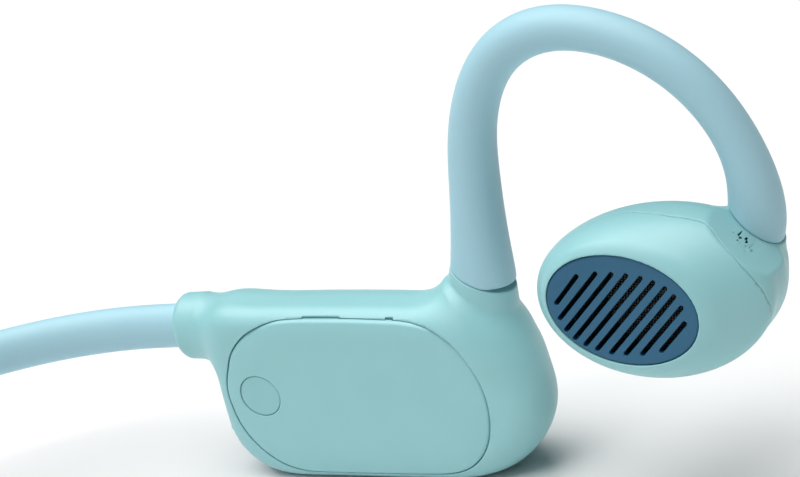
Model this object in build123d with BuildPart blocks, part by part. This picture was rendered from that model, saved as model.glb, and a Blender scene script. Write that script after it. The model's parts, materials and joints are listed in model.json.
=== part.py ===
from build123d import *
import math
import os

os.makedirs("parts", exist_ok=True)

# Open-ear behind-the-neck headphones, millimetres.
# +Z up, -Y to the wearer's front, +X to the wearer's left.
# The pair stands on the flat undersides of its two housings at Z = 0.

# ---- driving dimensions -------------------------------------------------
SIDE_X = 62.6            # hook and neckband entry, from the middle plane

# neckband
BAND_Z = 16.57           # height of the neckband's centre line
BAND_H = 4.75            # sleeve height
BAND_W = 3.75            # sleeve thickness
BAND_START_Y = 8.2       # end of the sleeve inside the collar
BAND_ARC_Y = 15.1        # straight up to here, then the arcs
BAND_RADII = (36.7, 43.2, 159.9)
BAND_TURNS = (30.0, 50.0, 10.0)
WIRE_D = 1.0             # spring wire
CABLE_D = 0.8            # signal cable
BORE_GAP = 0.06          # radial room round wire and cable
BAND_WIRE_DZ = -0.75
BAND_CABLE_DZ = 0.80

# housing
IN_X = 57.3              # inner face
OUT_X = 68.6             # outer face
TOP_Z = 20.6
REAR_Y = 9.3
WALL = 1.3
NECK_Y, NECK_Z = -23.75, 21.8    # centre of the ring where the hook starts
NECK_RY, NECK_RX = 3.45, 2.95
COLLAR_END_Y = 14.2
COLLAR_RX, COLLAR_RZ = 3.25, 3.55
COLLAR_Z = 16.3

# cover
COVER_Y0, COVER_Y1 = -23.5, 7.3
COVER_Z0, COVER_Z1 = 1.95, 19.6
COVER_R = (7.5, 5.5, 7.2, 8.8)   # front top, front bottom, rear bottom, rear top
COVER_T = 1.3
COVER_PROUD = 0.2
SEAL_T = 0.4
LEDGE = 1.1
PLUG_Y, PLUG_Z, PLUG_R = 3.2, 10.7, 2.4

# ear hook
HOOK_LEAN = 8.4          # degrees from vertical at the neck
HOOK_TOE = 0.04          # sideways run per mm forward
HOOK_R = 2.2
HOOK_LEG_R = 2.3
HOOK_ARCS = ((21.0, 18.4), (11.4, 68.2), (16.0, 30.0), (18.0, 40.0), (15.0, 20.0))
HOOK_WIRE_DX = -0.65
HOOK_CABLE_DX = 0.70

# pod
POD_C = (57.2, -45.3, 22.6)
POD_N = Vector(-0.985, 0.06, 0.10).normalized()   # towards the head
POD_TILT = -10.0         # the long axis dips to the front
POD_SECTIONS = ((-7.2, 5.4, 3.4), (-6.2, 8.8, 5.8), (-3.8, 11.7, 7.7), (-1.0, 12.8, 8.5),
                (1.0, 12.85, 8.56), (3.2, 12.0, 8.0), (5.0, 10.5, 7.2), (6.3, 8.8, 6.4))
POD_WALL = 1.2
POD_SEAM = 0.6
GRILLE_A, GRILLE_B, GRILLE_T = 7.65, 5.43, 1.2
SLOT_W = 0.5
SLOT_N = 10
SLOT_PITCH = 1.34

# driver
DRV_R = 6.1

# buttons
PRESS = 0.3
FLAP_R = 5.0

EPS = 0.03

# ---- helpers ------------------------------------------------------------


def save(bp, name):
    bp.part.label = name
    export_step(bp.part, "parts/" + name + ".step")


def mirrored(src, name):
    with BuildPart() as out:
        mirror(src.part, about=Plane.YZ)
    save(out, name)
    return out


def section_at(line, t):
    return Plane(origin=line @ t, z_dir=line % t)


def rounded_face(pts, radii, plane):
    """Closed outline with one radius for each corner, as a sketch on a plane."""
    with BuildSketch(plane, mode=Mode.PRIVATE) as sk:
        with BuildLine():
            FilletPolyline(*pts, radius=radii, close=True)
        make_face()
    return sk.sketch


def cover_outline(x, grow=0.0):
    """Cover outline in the YZ plane at x, grown by an amount."""
    a, b, c, d = COVER_Y0 - grow, COVER_Y1 + grow, COVER_Z0 - grow, COVER_Z1 + grow
    return rounded_face([(a, d), (a, c), (b, c), (b, d)], [max(r + grow, 0.3) for r in COVER_R], Plane.YZ.offset(x))


# ---- neckband -----------------------------------------------------------
R1, R2, R3 = BAND_RADII
T1, T2, T3 = BAND_TURNS


def band_line(z, y_start):
    with BuildLine(Plane.XY.offset(z)) as ln:
        a = Line((SIDE_X, y_start), (SIDE_X, BAND_ARC_Y))
        b = JernArc(start=a @ 1, tangent=a % 1, radius=R1, arc_size=T1)
        c = JernArc(start=b @ 1, tangent=b % 1, radius=R2, arc_size=T2)
        d = JernArc(start=c @ 1, tangent=c % 1, radius=R3, arc_size=2 * T3)
        e = JernArc(start=d @ 1, tangent=d % 1, radius=R2, arc_size=T2)
        f = JernArc(start=e @ 1, tangent=e % 1, radius=R1, arc_size=T1)
        Line(f @ 1, (-SIDE_X, y_start))
    return ln.line


band_mid = band_line(BAND_Z, BAND_START_Y)
band_wire_mid = band_line(BAND_Z + BAND_WIRE_DZ, 2.5)
band_cable_mid = band_line(BAND_Z + BAND_CABLE_DZ, 3.5)
band_wire_bore = band_line(BAND_Z + BAND_WIRE_DZ, BAND_START_Y - 1)
band_cable_bore = band_line(BAND_Z + BAND_CABLE_DZ, BAND_START_Y - 1)

with BuildPart() as neckband_sleeve:
    with BuildSketch(Plane(origin=(SIDE_X, BAND_START_Y, BAND_Z), x_dir=(1, 0, 0), z_dir=(0, 1, 0))):
        Ellipse(BAND_W / 2, BAND_H / 2)
    sweep(path=band_mid)
    with BuildSketch(Plane(origin=(SIDE_X, BAND_START_Y - 1, BAND_Z + BAND_WIRE_DZ), x_dir=(1, 0, 0), z_dir=(0, 1, 0))):
        Circle(WIRE_D / 2 + BORE_GAP)
    sweep(path=band_wire_bore, mode=Mode.SUBTRACT)
    with BuildSketch(Plane(origin=(SIDE_X, BAND_START_Y - 1, BAND_Z + BAND_CABLE_DZ), x_dir=(1, 0, 0), z_dir=(0, 1, 0))):
        Circle(CABLE_D / 2 + BORE_GAP)
    sweep(path=band_cable_bore, mode=Mode.SUBTRACT)
save(neckband_sleeve, "neckband_sleeve")

with BuildPart() as neckband_wire:
    with BuildSketch(Plane(origin=(SIDE_X, 2.5, BAND_Z + BAND_WIRE_DZ), x_dir=(1, 0, 0), z_dir=(0, 1, 0))):
        Circle(WIRE_D / 2)
    sweep(path=band_wire_mid)
save(neckband_wire, "neckband_wire")

with BuildPart() as neckband_cable:
    with BuildSketch(Plane(origin=(SIDE_X, 3.5, BAND_Z + BAND_CABLE_DZ), x_dir=(1, 0, 0), z_dir=(0, 1, 0))):
        Circle(CABLE_D / 2)
    sweep(path=band_cable_mid)
save(neckband_cable, "neckband_cable")

# ---- housing ------------------------------------------------------------


def housing_block(g):
    """Housing body shrunk by g all round: three crossed profiles.

    Each profile runs EPS past the faces that another one sets.
    """
    e = EPS
    side = rounded_face([(REAR_Y - g + e, TOP_Z - g + e), (-27.2 + g, TOP_Z - g + e), (-29.9 + g, 9.5),
                         (-25.5 + 0.8 * g, g - e), (REAR_Y - g + e, g - e)],
                        [2.0, 0.6, 12 - g, 9 - g, FLAP_R - g], Plane.YZ.offset(IN_X - 1))
    front = rounded_face([(IN_X + g, TOP_Z - g), (IN_X + g, g), (OUT_X - g, g), (OUT_X - g, TOP_Z - g)],
                         [1.1, 2.0, 5.5 - g, 8.0 - g], Plane.XZ.offset(-30))
    top = rounded_face([(IN_X + g - e, -29.2 + g), (OUT_X - g + e, -29.2 + g), (OUT_X - g + e, REAR_Y - g),
                        (IN_X + g - e, REAR_Y - g)], [2.5 - g, 8.0 - g, 6.5 - g, 1.5], Plane.XY.offset(-5))
    with BuildPart() as blk:
        extrude(side, amount=OUT_X - IN_X + 2)
        extrude(front, amount=70, mode=Mode.INTERSECT)
        extrude(top, amount=40, mode=Mode.INTERSECT)
    return blk


outer_block = housing_block(0.0)
inner_block = housing_block(WALL)

# ear hook frame: u runs to the rear along the hook's plane, v up
U_DIR = Vector(HOOK_TOE, 1, 0).normalized()
W_DIR = Vector(1, -HOOK_TOE, 0).normalized()
HOOK_O = Vector(SIDE_X, -24, 0)
HOOK_PLANE = Plane(origin=HOOK_O, x_dir=U_DIR, z_dir=W_DIR)
LEAN = math.radians(HOOK_LEAN)
LEG_DIR = U_DIR * -math.sin(LEAN) + Vector(0, 0, 1) * math.cos(LEAN)


def leg_u(z):
    return (NECK_Y + 24) - math.tan(LEAN) * (z - NECK_Z)


def leg_plane(z):
    return Plane(origin=HOOK_O + U_DIR * leg_u(z) + Vector(0, 0, z), x_dir=W_DIR, z_dir=LEG_DIR)


def hook_line(dx, z_start, tail):
    """Hook centre line moved sideways by dx, from the neck to the pod."""
    with BuildLine(HOOK_PLANE.offset(dx)) as ln:
        leg = Line((leg_u(z_start), z_start), (leg_u(35.0), 35.0))
        parts = [leg]
        for r, a in HOOK_ARCS:
            parts.append(JernArc(start=parts[-1] @ 1, tangent=parts[-1] % 1, radius=r, arc_size=a))
        Line(parts[-1] @ 1, (parts[-1] @ 1) + (parts[-1] % 1) * tail)
    return ln


def hook_points():
    """Joint points of the hook's arcs: (position, direction)."""
    u, v, h = leg_u(35.0), 35.0, LEAN
    out = [(u, v, h)]
    for r, a in HOOK_ARCS:
        h2 = h + math.radians(a)
        u += r * (math.cos(h2) - math.cos(h))
        v += r * (math.sin(h2) - math.sin(h))
        h = h2
        out.append((u, v, h))
    return out


HP = hook_points()


def hook_plane_at(u, v, h):
    d = U_DIR * -math.sin(h) + Vector(0, 0, 1) * math.cos(h)
    return Plane(origin=HOOK_O + U_DIR * u + Vector(0, 0, v), x_dir=W_DIR, z_dir=d)


A4 = hook_plane_at(*HP[4])
A5 = hook_plane_at(*HP[5])
A6 = hook_plane_at(HP[5][0] + 0.15, HP[5][1] - 2.6, HP[5][2])
A7 = hook_plane_at(HP[5][0] + 0.45, HP[5][1] - 6.6, HP[5][2])
CUT = Plane(origin=HOOK_O + U_DIR * -30.2 + Vector(0, 0, 27.9), z_dir=(U_DIR * -0.56 + Vector(0, 0, 0.83)).normalized())

with BuildPart() as hook_end:
    for pl, r in ((A4, HOOK_R), (A5, 2.7), (A6, 3.1), (A7, 3.9)):
        with BuildSketch(pl):
            Circle(r)
    loft()

# pod frame: local x along the long axis to the front, local z towards the head
E1 = Vector(0, 0, 1).cross(POD_N).normalized()
E2 = POD_N.cross(E1).normalized()
TILT = math.radians(POD_TILT)
POD_X = E1 * math.cos(TILT) + E2 * math.sin(TILT)
POD_PLANE = Plane(origin=POD_C, x_dir=POD_X, z_dir=POD_N)


def pod_plane(s, dx=0.0, dy=0.0):
    pl = POD_PLANE.offset(s)
    return Plane(origin=pl.origin + pl.x_dir * dx + pl.y_dir * dy, x_dir=pl.x_dir, z_dir=pl.z_dir)


def pod_egg(g, s0, s1):
    with BuildPart() as egg:
        for k, (s, a, b) in enumerate(POD_SECTIONS):
            t = s
            if k == 0:
                t = s + s0
            if k == len(POD_SECTIONS) - 1:
                t = s - s1
            shift = -0.25 * s
            with BuildSketch(pod_plane(t, dx=shift, dy=0.11 * s)):
                Ellipse(a - g, b - g)
        loft()
    return egg


pod_outer = pod_egg(0.0, 0.0, 0.0)
pod_inner = pod_egg(POD_WALL, 0.9, 1.3)
G_DX, G_DY = -1.6, 0.45          # grille centre on the pod's face
print("housing", round(outer_block.part.volume), round(inner_block.part.volume),
      "pod", round(pod_outer.part.volume), round(pod_inner.part.volume))

# ---- left housing -------------------------------------------------------
COVER_BACK = IN_X - COVER_PROUD + COVER_T
LEDGE_X = COVER_BACK + SEAL_T
CAV_X = LEDGE_X + 1.0
BOSS_END = OUT_X - WALL + 0.3
BUTTON_Y, BUTTON_Z = -9.0, 9.2
VOL_Y = (-13.4, -4.6)
FLAP_Y, FLAP_Z = REAR_Y - FLAP_R, FLAP_R
FLAP_X0, FLAP_X1 = 58.45, 65.4
BEAD_Y, BEAD_Z, BEAD_R = 8.95, 5.6, 0.55


def corner_sector(r0, r1, a0, a1, plane):
    """Ring sector round the housing's lower rear corner, in a YZ plane."""
    with BuildSketch(plane, mode=Mode.PRIVATE) as sk:
        with BuildLine():
            p = [(FLAP_Y + r * math.cos(math.radians(a)), FLAP_Z + r * math.sin(math.radians(a)))
                 for r, a in ((r0, a0), (r1, a0), (r1, (a0 + a1) / 2), (r1, a1), (r0, a1), (r0, (a0 + a1) / 2))]
            Line(p[0], p[1])
            ThreePointArc(p[1], p[2], p[3])
            Line(p[3], p[4])
            ThreePointArc(p[4], p[5], p[0])
        make_face()
    return sk.sketch


with BuildPart() as cavity:
    add(inner_block.part)
    with BuildSketch(Plane.YZ.offset(IN_X - 5)):
        Rectangle(100, 100)
    extrude(amount=CAV_X - IN_X + 5, mode=Mode.SUBTRACT)


def build_shell(left):
    with BuildPart() as sh:
        add(outer_block.part)
        # neck that carries the ear hook
        for z, rx, ry in ((13.5, 4.5, 5.3), (18.2, 3.9, 4.6), (NECK_Z, NECK_RX, NECK_RY)):
            with BuildSketch(leg_plane(z)):
                Ellipse(rx, ry)
        loft()
        # collar round the neckband
        for y, rx, rz in ((2.0, 3.9, 4.1), (9.0, 3.6, 3.85), (12.8, 3.35, 3.65), (COLLAR_END_Y, COLLAR_RX - 0.2, COLLAR_RZ - 0.2)):
            with BuildSketch(Plane(origin=(SIDE_X, y, COLLAR_Z), x_dir=(1, 0, 0), z_dir=(0, 1, 0))):
                Ellipse(rx, rz)
        loft()
        # cavity behind the cover's ledge
        add(cavity.part, mode=Mode.SUBTRACT)
        extrude(cover_outline(IN_X - 1, 0.12), amount=LEDGE_X - IN_X + 1, mode=Mode.SUBTRACT)
        extrude(cover_outline(IN_X - 1, -LEDGE), amount=CAV_X - IN_X + 1.2, mode=Mode.SUBTRACT)
        # neckband socket and its passage
        with BuildSketch(Plane(origin=(SIDE_X, BAND_START_Y - 0.02, BAND_Z), x_dir=(1, 0, 0), z_dir=(0, 1, 0))):
            Ellipse(BAND_W / 2 + 0.04, BAND_H / 2 + 0.04)
        extrude(amount=10, mode=Mode.SUBTRACT)
        with BuildSketch(Plane(origin=(SIDE_X, 4.0, BAND_Z), x_dir=(1, 0, 0), z_dir=(0, 1, 0))):
            RectangleRounded(1.9, 3.4, 0.6)
        extrude(amount=5, mode=Mode.SUBTRACT)
        # hook passage
        with BuildSketch(leg_plane(NECK_Z + 0.5)):
            Ellipse(1.7, 0.9)
        extrude(amount=-9, mode=Mode.SUBTRACT)
        # cover screw's boss
        with BuildSketch(Plane.YZ.offset(CAV_X + 0.4)):
            with Locations((PLUG_Y, PLUG_Z)):
                Circle(1.8)
        extrude(amount=BOSS_END - CAV_X - 0.4)
        with BuildSketch(Plane.YZ.offset(CAV_X)):
            with Locations((PLUG_Y, PLUG_Z)):
                Circle(0.83)
        extrude(amount=5.2, mode=Mode.SUBTRACT)
        if left:
            # backing wall, seat and groove of the charge flap
            extrude(corner_sector(2.5, 3.9, -105, 8, Plane.YZ.offset(FLAP_X0 + 0.3)), amount=FLAP_X1 - FLAP_X0 - 0.1)
            extrude(corner_sector(3.6, 8.0, -89, 0, Plane.YZ.offset(FLAP_X0 - 0.15)), amount=FLAP_X1 - FLAP_X0 + 0.3, mode=Mode.SUBTRACT)
            with BuildSketch(Plane.YZ.offset(59.0)):
                with Locations((BEAD_Y, BEAD_Z)):
                    Circle(BEAD_R + 0.07)
            extrude(amount=4.0, mode=Mode.SUBTRACT)
            with BuildSketch(Plane.YZ.offset(59.0)):
                with Locations((8.93 + 0.6, 5.2)):
                    Rectangle(2.2, 1.1)
            extrude(amount=4.0, mode=Mode.SUBTRACT)
            # charge socket's slot
            with BuildSketch(Plane(origin=(62.15, FLAP_Y, FLAP_Z), x_dir=(1, 0, 0), z_dir=(0, 1, -1))):
                RectangleRounded(6.7, 2.5, 0.9)
            extrude(amount=6.0, mode=Mode.SUBTRACT)
            # button and light
            with BuildSketch(Plane.YZ.offset(OUT_X - 3)):
                with Locations((BUTTON_Y, BUTTON_Z)):
                    Ellipse(5.15, 3.35)
                with Locations((-1.2, BUTTON_Z)):
                    Circle(0.65)
            extrude(amount=5, mode=Mode.SUBTRACT)
        else:
            with BuildSketch(Plane.YZ.offset(OUT_X - 3)):
                with Locations((VOL_Y[0], BUTTON_Z), (VOL_Y[1], BUTTON_Z)):
                    Ellipse(3.45, 2.85)
            extrude(amount=5, mode=Mode.SUBTRACT)
            with BuildSketch(Plane.XY.offset(-1)):
                with Locations((62.6, -16)):
                    Circle(0.4)
            extrude(amount=3, mode=Mode.SUBTRACT)
    return sh


left_housing_shell = build_shell(True)
save(left_housing_shell, "left_housing_shell")
right_shell_as_left = build_shell(False)
mirrored(right_shell_as_left, "right_housing_shell")

# cover with a counterbored boss for its screw
HEAD_X = IN_X - COVER_PROUD + 0.95
with BuildPart() as left_housing_cover:
    extrude(cover_outline(IN_X - COVER_PROUD), amount=COVER_T)
    fillet(left_housing_cover.faces().sort_by(Axis.X)[0].edges(), radius=0.35)
    with BuildSketch(Plane.YZ.offset(COVER_BACK - 0.1)):
        with Locations((PLUG_Y, PLUG_Z)):
            Circle(2.7)
    extrude(amount=1.5)
    with BuildSketch(Plane.YZ.offset(IN_X - COVER_PROUD - 0.1)):
        with Locations((PLUG_Y, PLUG_Z)):
            Circle(PLUG_R + 0.05)
    extrude(amount=0.1 + 0.95, mode=Mode.SUBTRACT)
    with BuildSketch(Plane.YZ.offset(HEAD_X - 0.1)):
        with Locations((PLUG_Y, PLUG_Z)):
            Circle(1.55)
    extrude(amount=1.1, mode=Mode.SUBTRACT)
    with BuildSketch(Plane.YZ.offset(HEAD_X + 0.9)):
        with Locations((PLUG_Y, PLUG_Z)):
            Circle(0.9)
    extrude(amount=3, mode=Mode.SUBTRACT)
save(left_housing_cover, "left_housing_cover")
mirrored(left_housing_cover, "right_housing_cover")

with BuildPart() as left_cover_seal:
    extrude(cover_outline(COVER_BACK + 0.02, -0.1), amount=SEAL_T - 0.04)
    extrude(cover_outline(COVER_BACK - 0.5, -0.95), amount=SEAL_T + 1.0, mode=Mode.SUBTRACT)
save(left_cover_seal, "left_cover_seal")
mirrored(left_cover_seal, "right_cover_seal")

with BuildPart() as left_screw_plug:
    with BuildSketch(Plane.YZ.offset(IN_X - COVER_PROUD + 0.02)):
        with Locations((PLUG_Y, PLUG_Z)):
            Circle(PLUG_R)
    extrude(amount=0.9)
    chamfer(left_screw_plug.faces().sort_by(Axis.X)[0].edges(), length=0.12)
save(left_screw_plug, "left_screw_plug")
mirrored(left_screw_plug, "right_screw_plug")

with BuildPart() as left_cover_screw:
    with BuildSketch(Plane.YZ.offset(HEAD_X)):
        with Locations((PLUG_Y, PLUG_Z)):
            Circle(1.45)
    extrude(amount=0.95)
    with BuildSketch(Plane.YZ.offset(HEAD_X)):
        with Locations((PLUG_Y, PLUG_Z)):
            Circle(0.8)
    extrude(amount=6.0)
    with BuildSketch(Plane.YZ.offset(HEAD_X - 0.1)):
        with Locations((PLUG_Y, PLUG_Z)):
            RegularPolygon(0.65, 6)
    extrude(amount=0.65, mode=Mode.SUBTRACT)
save(left_cover_screw, "left_cover_screw")
mirrored(left_cover_screw, "right_cover_screw")

# ---- ear hook -----------------------------------------------------------
with BuildPart() as left_hook_sleeve:
    for z, rx, ry in ((NECK_Z + 0.08, NECK_RX - 0.02, NECK_RY - 0.02), (26.0, 2.75, 2.95), (31.0, 2.42, 2.5)):
        with BuildSketch(leg_plane(z)):
            Ellipse(rx, ry)
    with BuildSketch(leg_plane(35.0)):
        Circle(HOOK_R)
    loft()
    with BuildLine(HOOK_PLANE) as mid:
        arcs = [JernArc(start=(leg_u(35.0), 35.0), tangent=LEG_DIR, radius=HOOK_ARCS[0][0], arc_size=HOOK_ARCS[0][1])]
        for r, a in HOOK_ARCS[1:4]:
            arcs.append(JernArc(start=arcs[-1] @ 1, tangent=arcs[-1] % 1, radius=r, arc_size=a))
    with BuildSketch(leg_plane(35.0)):
        Circle(HOOK_R)
    sweep(path=mid.line)
    add(split(hook_end.part, bisect_by=CUT, keep=Keep.TOP, mode=Mode.PRIVATE))
    print("hook sleeve outside", round(left_hook_sleeve.part.volume, 1), left_hook_sleeve.part.is_valid)
    for dx, r in ((HOOK_WIRE_DX, WIRE_D / 2 + BORE_GAP), (HOOK_CABLE_DX, CABLE_D / 2 + BORE_GAP)):
        bore = hook_line(dx, NECK_Z - 3, 6.0)
        with BuildSketch(Plane(origin=bore.line @ 0, z_dir=bore.line % 0)):
            Circle(r)
        sweep(path=bore.line, mode=Mode.SUBTRACT)
    print("hook sleeve", round(left_hook_sleeve.part.volume, 1), left_hook_sleeve.part.is_valid)
save(left_hook_sleeve, "left_hook_sleeve")
mirrored(left_hook_sleeve, "right_hook_sleeve")

wire_path = hook_line(HOOK_WIRE_DX, 14.8, 3.6)
with BuildPart() as left_hook_wire:
    with BuildSketch(Plane(origin=wire_path.line @ 0, z_dir=wire_path.line % 0)):
        Circle(WIRE_D / 2)
    sweep(path=wire_path.line)
save(left_hook_wire, "left_hook_wire")
mirrored(left_hook_wire, "right_hook_wire")

cable_path = hook_line(HOOK_CABLE_DX, 16.0, 5.2)
with BuildPart() as left_hook_cable:
    with BuildSketch(Plane(origin=cable_path.line @ 0, z_dir=cable_path.line % 0)):
        Circle(CABLE_D / 2)
    sweep(path=cable_path.line)
save(left_hook_cable, "left_hook_cable")
mirrored(left_hook_cable, "right_hook_cable")

# anchors crimped on the two spring wires
with BuildPart() as left_wire_anchors:
    with BuildSketch(leg_plane(15.0)):
        with Locations((HOOK_WIRE_DX - 0.4, 0)):
            RectangleRounded(2.0, 2.6, 0.4)
        with Locations((HOOK_WIRE_DX, 0)):
            Circle(WIRE_D / 2 + 0.02, mode=Mode.SUBTRACT)
    extrude(amount=1.9)
    with BuildSketch(Plane(origin=(SIDE_X, 2.7, BAND_Z + BAND_WIRE_DZ), x_dir=(1, 0, 0), z_dir=(0, 1, 0))):
        RectangleRounded(2.6, 2.0, 0.4)
        Circle(WIRE_D / 2 + 0.02, mode=Mode.SUBTRACT)
    extrude(amount=3.6)
save(left_wire_anchors, "left_wire_anchors")
mirrored(left_wire_anchors, "right_wire_anchors")

# ---- pod ----------------------------------------------------------------
SEAM = pod_plane(POD_SEAM)
with BuildPart() as pod_hull:
    add(pod_outer.part)
    add(split(hook_end.part, bisect_by=CUT, keep=Keep.BOTTOM, mode=Mode.PRIVATE))
    add(pod_inner.part, mode=Mode.SUBTRACT)

with BuildPart() as left_pod_rear_shell:
    add(split(pod_hull.part, bisect_by=pod_plane(POD_SEAM - 0.03), keep=Keep.BOTTOM, mode=Mode.PRIVATE))
    with BuildSketch(hook_plane_at(HP[5][0], HP[5][1], HP[5][2])):
        Ellipse(1.7, 0.9)
    extrude(amount=9.0, mode=Mode.SUBTRACT)
save(left_pod_rear_shell, "left_pod_rear_shell")

with BuildPart() as left_pod_front_shell:
    add(split(pod_outer.part, bisect_by=pod_plane(POD_SEAM + 0.03), keep=Keep.TOP, mode=Mode.PRIVATE))
    add(pod_inner.part, mode=Mode.SUBTRACT)
    with BuildSketch(pod_plane(5.4, G_DX, G_DY)):
        Ellipse(GRILLE_A + 0.08, GRILLE_B + 0.08)
    extrude(amount=3, mode=Mode.SUBTRACT)
    with BuildSketch(pod_plane(3.0, G_DX, G_DY)):
        Ellipse(GRILLE_A - 0.75, GRILLE_B - 0.75)
    extrude(amount=5, mode=Mode.SUBTRACT)
save(left_pod_front_shell, "left_pod_front_shell")
mirrored(left_pod_rear_shell, "right_pod_rear_shell")
mirrored(left_pod_front_shell, "right_pod_front_shell")

with BuildPart() as left_grille:
    with BuildSketch(pod_plane(5.42, G_DX, G_DY)):
        Ellipse(GRILLE_A, GRILLE_B)
    extrude(amount=1.1)
    fillet(left_grille.faces().sort_by(Axis.X)[0].edges(), radius=0.25)
    with BuildSketch(pod_plane(5.0, G_DX, G_DY)) as slots:
        th = math.radians(55.4)
        for k in range(SLOT_N):
            off = (k - (SLOT_N - 1) / 2) * 1.17 + 0.1
            # chord of the inner ellipse along the slot's direction
            ca, sa = GRILLE_A - 0.95, GRILLE_B - 0.75
            px, py = off * math.sin(th), -off * math.cos(th)
            dx, dy = math.cos(th), math.sin(th)
            A = (dx / ca) ** 2 + (dy / sa) ** 2
            B = 2 * (px * dx / ca ** 2 + py * dy / sa ** 2)
            C = (px / ca) ** 2 + (py / sa) ** 2 - 1
            root = math.sqrt(max(B * B - 4 * A * C, 0.0))
            t0, t1 = (-B - root) / (2 * A), (-B + root) / (2 * A)
            with Locations((px + dx * (t0 + t1) / 2, py + dy * (t0 + t1) / 2)):
                SlotOverall(t1 - t0, SLOT_W, rotation=55.4)
    extrude(amount=3, mode=Mode.SUBTRACT)
save(left_grille, "left_grille")
mirrored(left_grille, "right_grille")

with BuildPart() as left_grille_mesh:
    with BuildSketch(pod_plane(4.70, G_DX, G_DY)):
        Ellipse(GRILLE_A - 0.35, GRILLE_B - 0.35)
    extrude(amount=0.22)
save(left_grille_mesh, "left_grille_mesh")
mirrored(left_grille_mesh, "right_grille_mesh")

# ---- driver -------------------------------------------------------------
D_DX, D_DY = 0.3, 0.0
with BuildPart() as left_driver_frame:
    with BuildSketch(pod_plane(-1.2, D_DX, D_DY)):
        Circle(DRV_R)
        Circle(4.35, mode=Mode.SUBTRACT)
    extrude(amount=0.8)
    with BuildSketch(pod_plane(-1.2, D_DX, D_DY)):
        Circle(DRV_R)
        Circle(DRV_R - 0.6, mode=Mode.SUBTRACT)
    extrude(amount=4.2)
save(left_driver_frame, "left_driver_frame")
mirrored(left_driver_frame, "right_driver_frame")

with BuildPart() as left_driver_yoke:
    with BuildSketch(pod_plane(-2.4, D_DX, D_DY)):
        Circle(4.3)
    extrude(amount=3.6)
    with BuildSketch(pod_plane(-1.6, D_DX, D_DY)):
        Circle(3.6)
    extrude(amount=4, mode=Mode.SUBTRACT)
save(left_driver_yoke, "left_driver_yoke")
mirrored(left_driver_yoke, "right_driver_yoke")

with BuildPart() as left_driver_magnet:
    with BuildSketch(pod_plane(-1.58, D_DX, D_DY)):
        Circle(2.7)
    extrude(amount=1.9)
save(left_driver_magnet, "left_driver_magnet")
mirrored(left_driver_magnet, "right_driver_magnet")

with BuildPart() as left_driver_top_plate:
    with BuildSketch(pod_plane(0.34, D_DX, D_DY)):
        Circle(2.75)
    extrude(amount=0.7)
save(left_driver_top_plate, "left_driver_top_plate")
mirrored(left_driver_top_plate, "right_driver_top_plate")

with BuildPart() as left_voice_coil:
    with BuildSketch(pod_plane(-0.1, D_DX, D_DY)):
        Circle(3.3)
        Circle(3.02, mode=Mode.SUBTRACT)
    extrude(amount=2.2)
save(left_voice_coil, "left_voice_coil")
mirrored(left_voice_coil, "right_voice_coil")

with BuildPart() as left_diaphragm:
    with BuildSketch(pod_plane(2.12, D_DX, D_DY)):
        Circle(5.2)
    extrude(amount=0.16)
    with BuildSketch(pod_plane(2.0, D_DX, D_DY)):
        Circle(3.0)
    extrude(amount=0.55)
save(left_diaphragm, "left_diaphragm")
mirrored(left_diaphragm, "right_diaphragm")

# ---- inside the housings ------------------------------------------------
with BuildPart() as left_battery:
    with BuildSketch(Plane.YZ.offset(59.2)):
        with Locations((-10.5, 10.6)):
            RectangleRounded(19.0, 13.2, 1.2)
    extrude(amount=3.3)
    fillet(left_battery.edges().filter_by(Axis.Y), radius=0.6)
save(left_battery, "left_battery")

with BuildPart() as left_charge_board:
    with BuildSketch(Plane.YZ.offset(63.5)):
        with Locations((-9.6, 9.6)):
            RectangleRounded(19.6, 12.4, 1.0)
    extrude(amount=0.8)
save(left_charge_board, "left_charge_board")

with BuildPart() as play_switch:
    with BuildSketch(Plane.YZ.offset(64.32)):
        with Locations((BUTTON_Y, BUTTON_Z)):
            RectangleRounded(3.6, 3.0, 0.3)
    extrude(amount=0.55)
    with BuildSketch(Plane.YZ.offset(64.8)):
        with Locations((BUTTON_Y, BUTTON_Z)):
            Circle(0.8)
    extrude(amount=0.32)
save(play_switch, "play_switch")

with BuildPart() as status_led:
    with BuildSketch(Plane.YZ.offset(64.32)):
        with Locations((-1.2, BUTTON_Z)):
            Rectangle(1.6, 0.8)
    extrude(amount=0.5)
save(status_led, "status_led")


def face_button(name, y, rx, ry):
    """Outer-face button: cap, inner flange and plunger."""
    with BuildPart() as b:
        with BuildSketch(Plane.YZ.offset(66.5)):
            with Locations((y, BUTTON_Z)):
                Ellipse(rx, ry)
        extrude(amount=OUT_X + 0.4 - 66.5)
        fillet(b.faces().sort_by(Axis.X)[-1].edges(), radius=0.35)
        with BuildSketch(Plane.YZ.offset(66.1)):
            with Locations((y, BUTTON_Z)):
                Ellipse(rx + 0.55, ry + 0.55)
        extrude(amount=0.7)
        with BuildSketch(Plane.YZ.offset(65.55)):
            with Locations((y, BUTTON_Z)):
                Circle(1.1)
        extrude(amount=0.8)
    return b


play_button = face_button("play_button", BUTTON_Y, 5.0, 3.2)
save(play_button, "play_button")

with BuildPart() as status_light_pipe:
    with BuildSketch(Plane.YZ.offset(65.2)):
        with Locations((-1.2, BUTTON_Z)):
            Circle(0.6)
    extrude(amount=OUT_X + 0.03 - 65.2)
save(status_light_pipe, "status_light_pipe")

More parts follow.
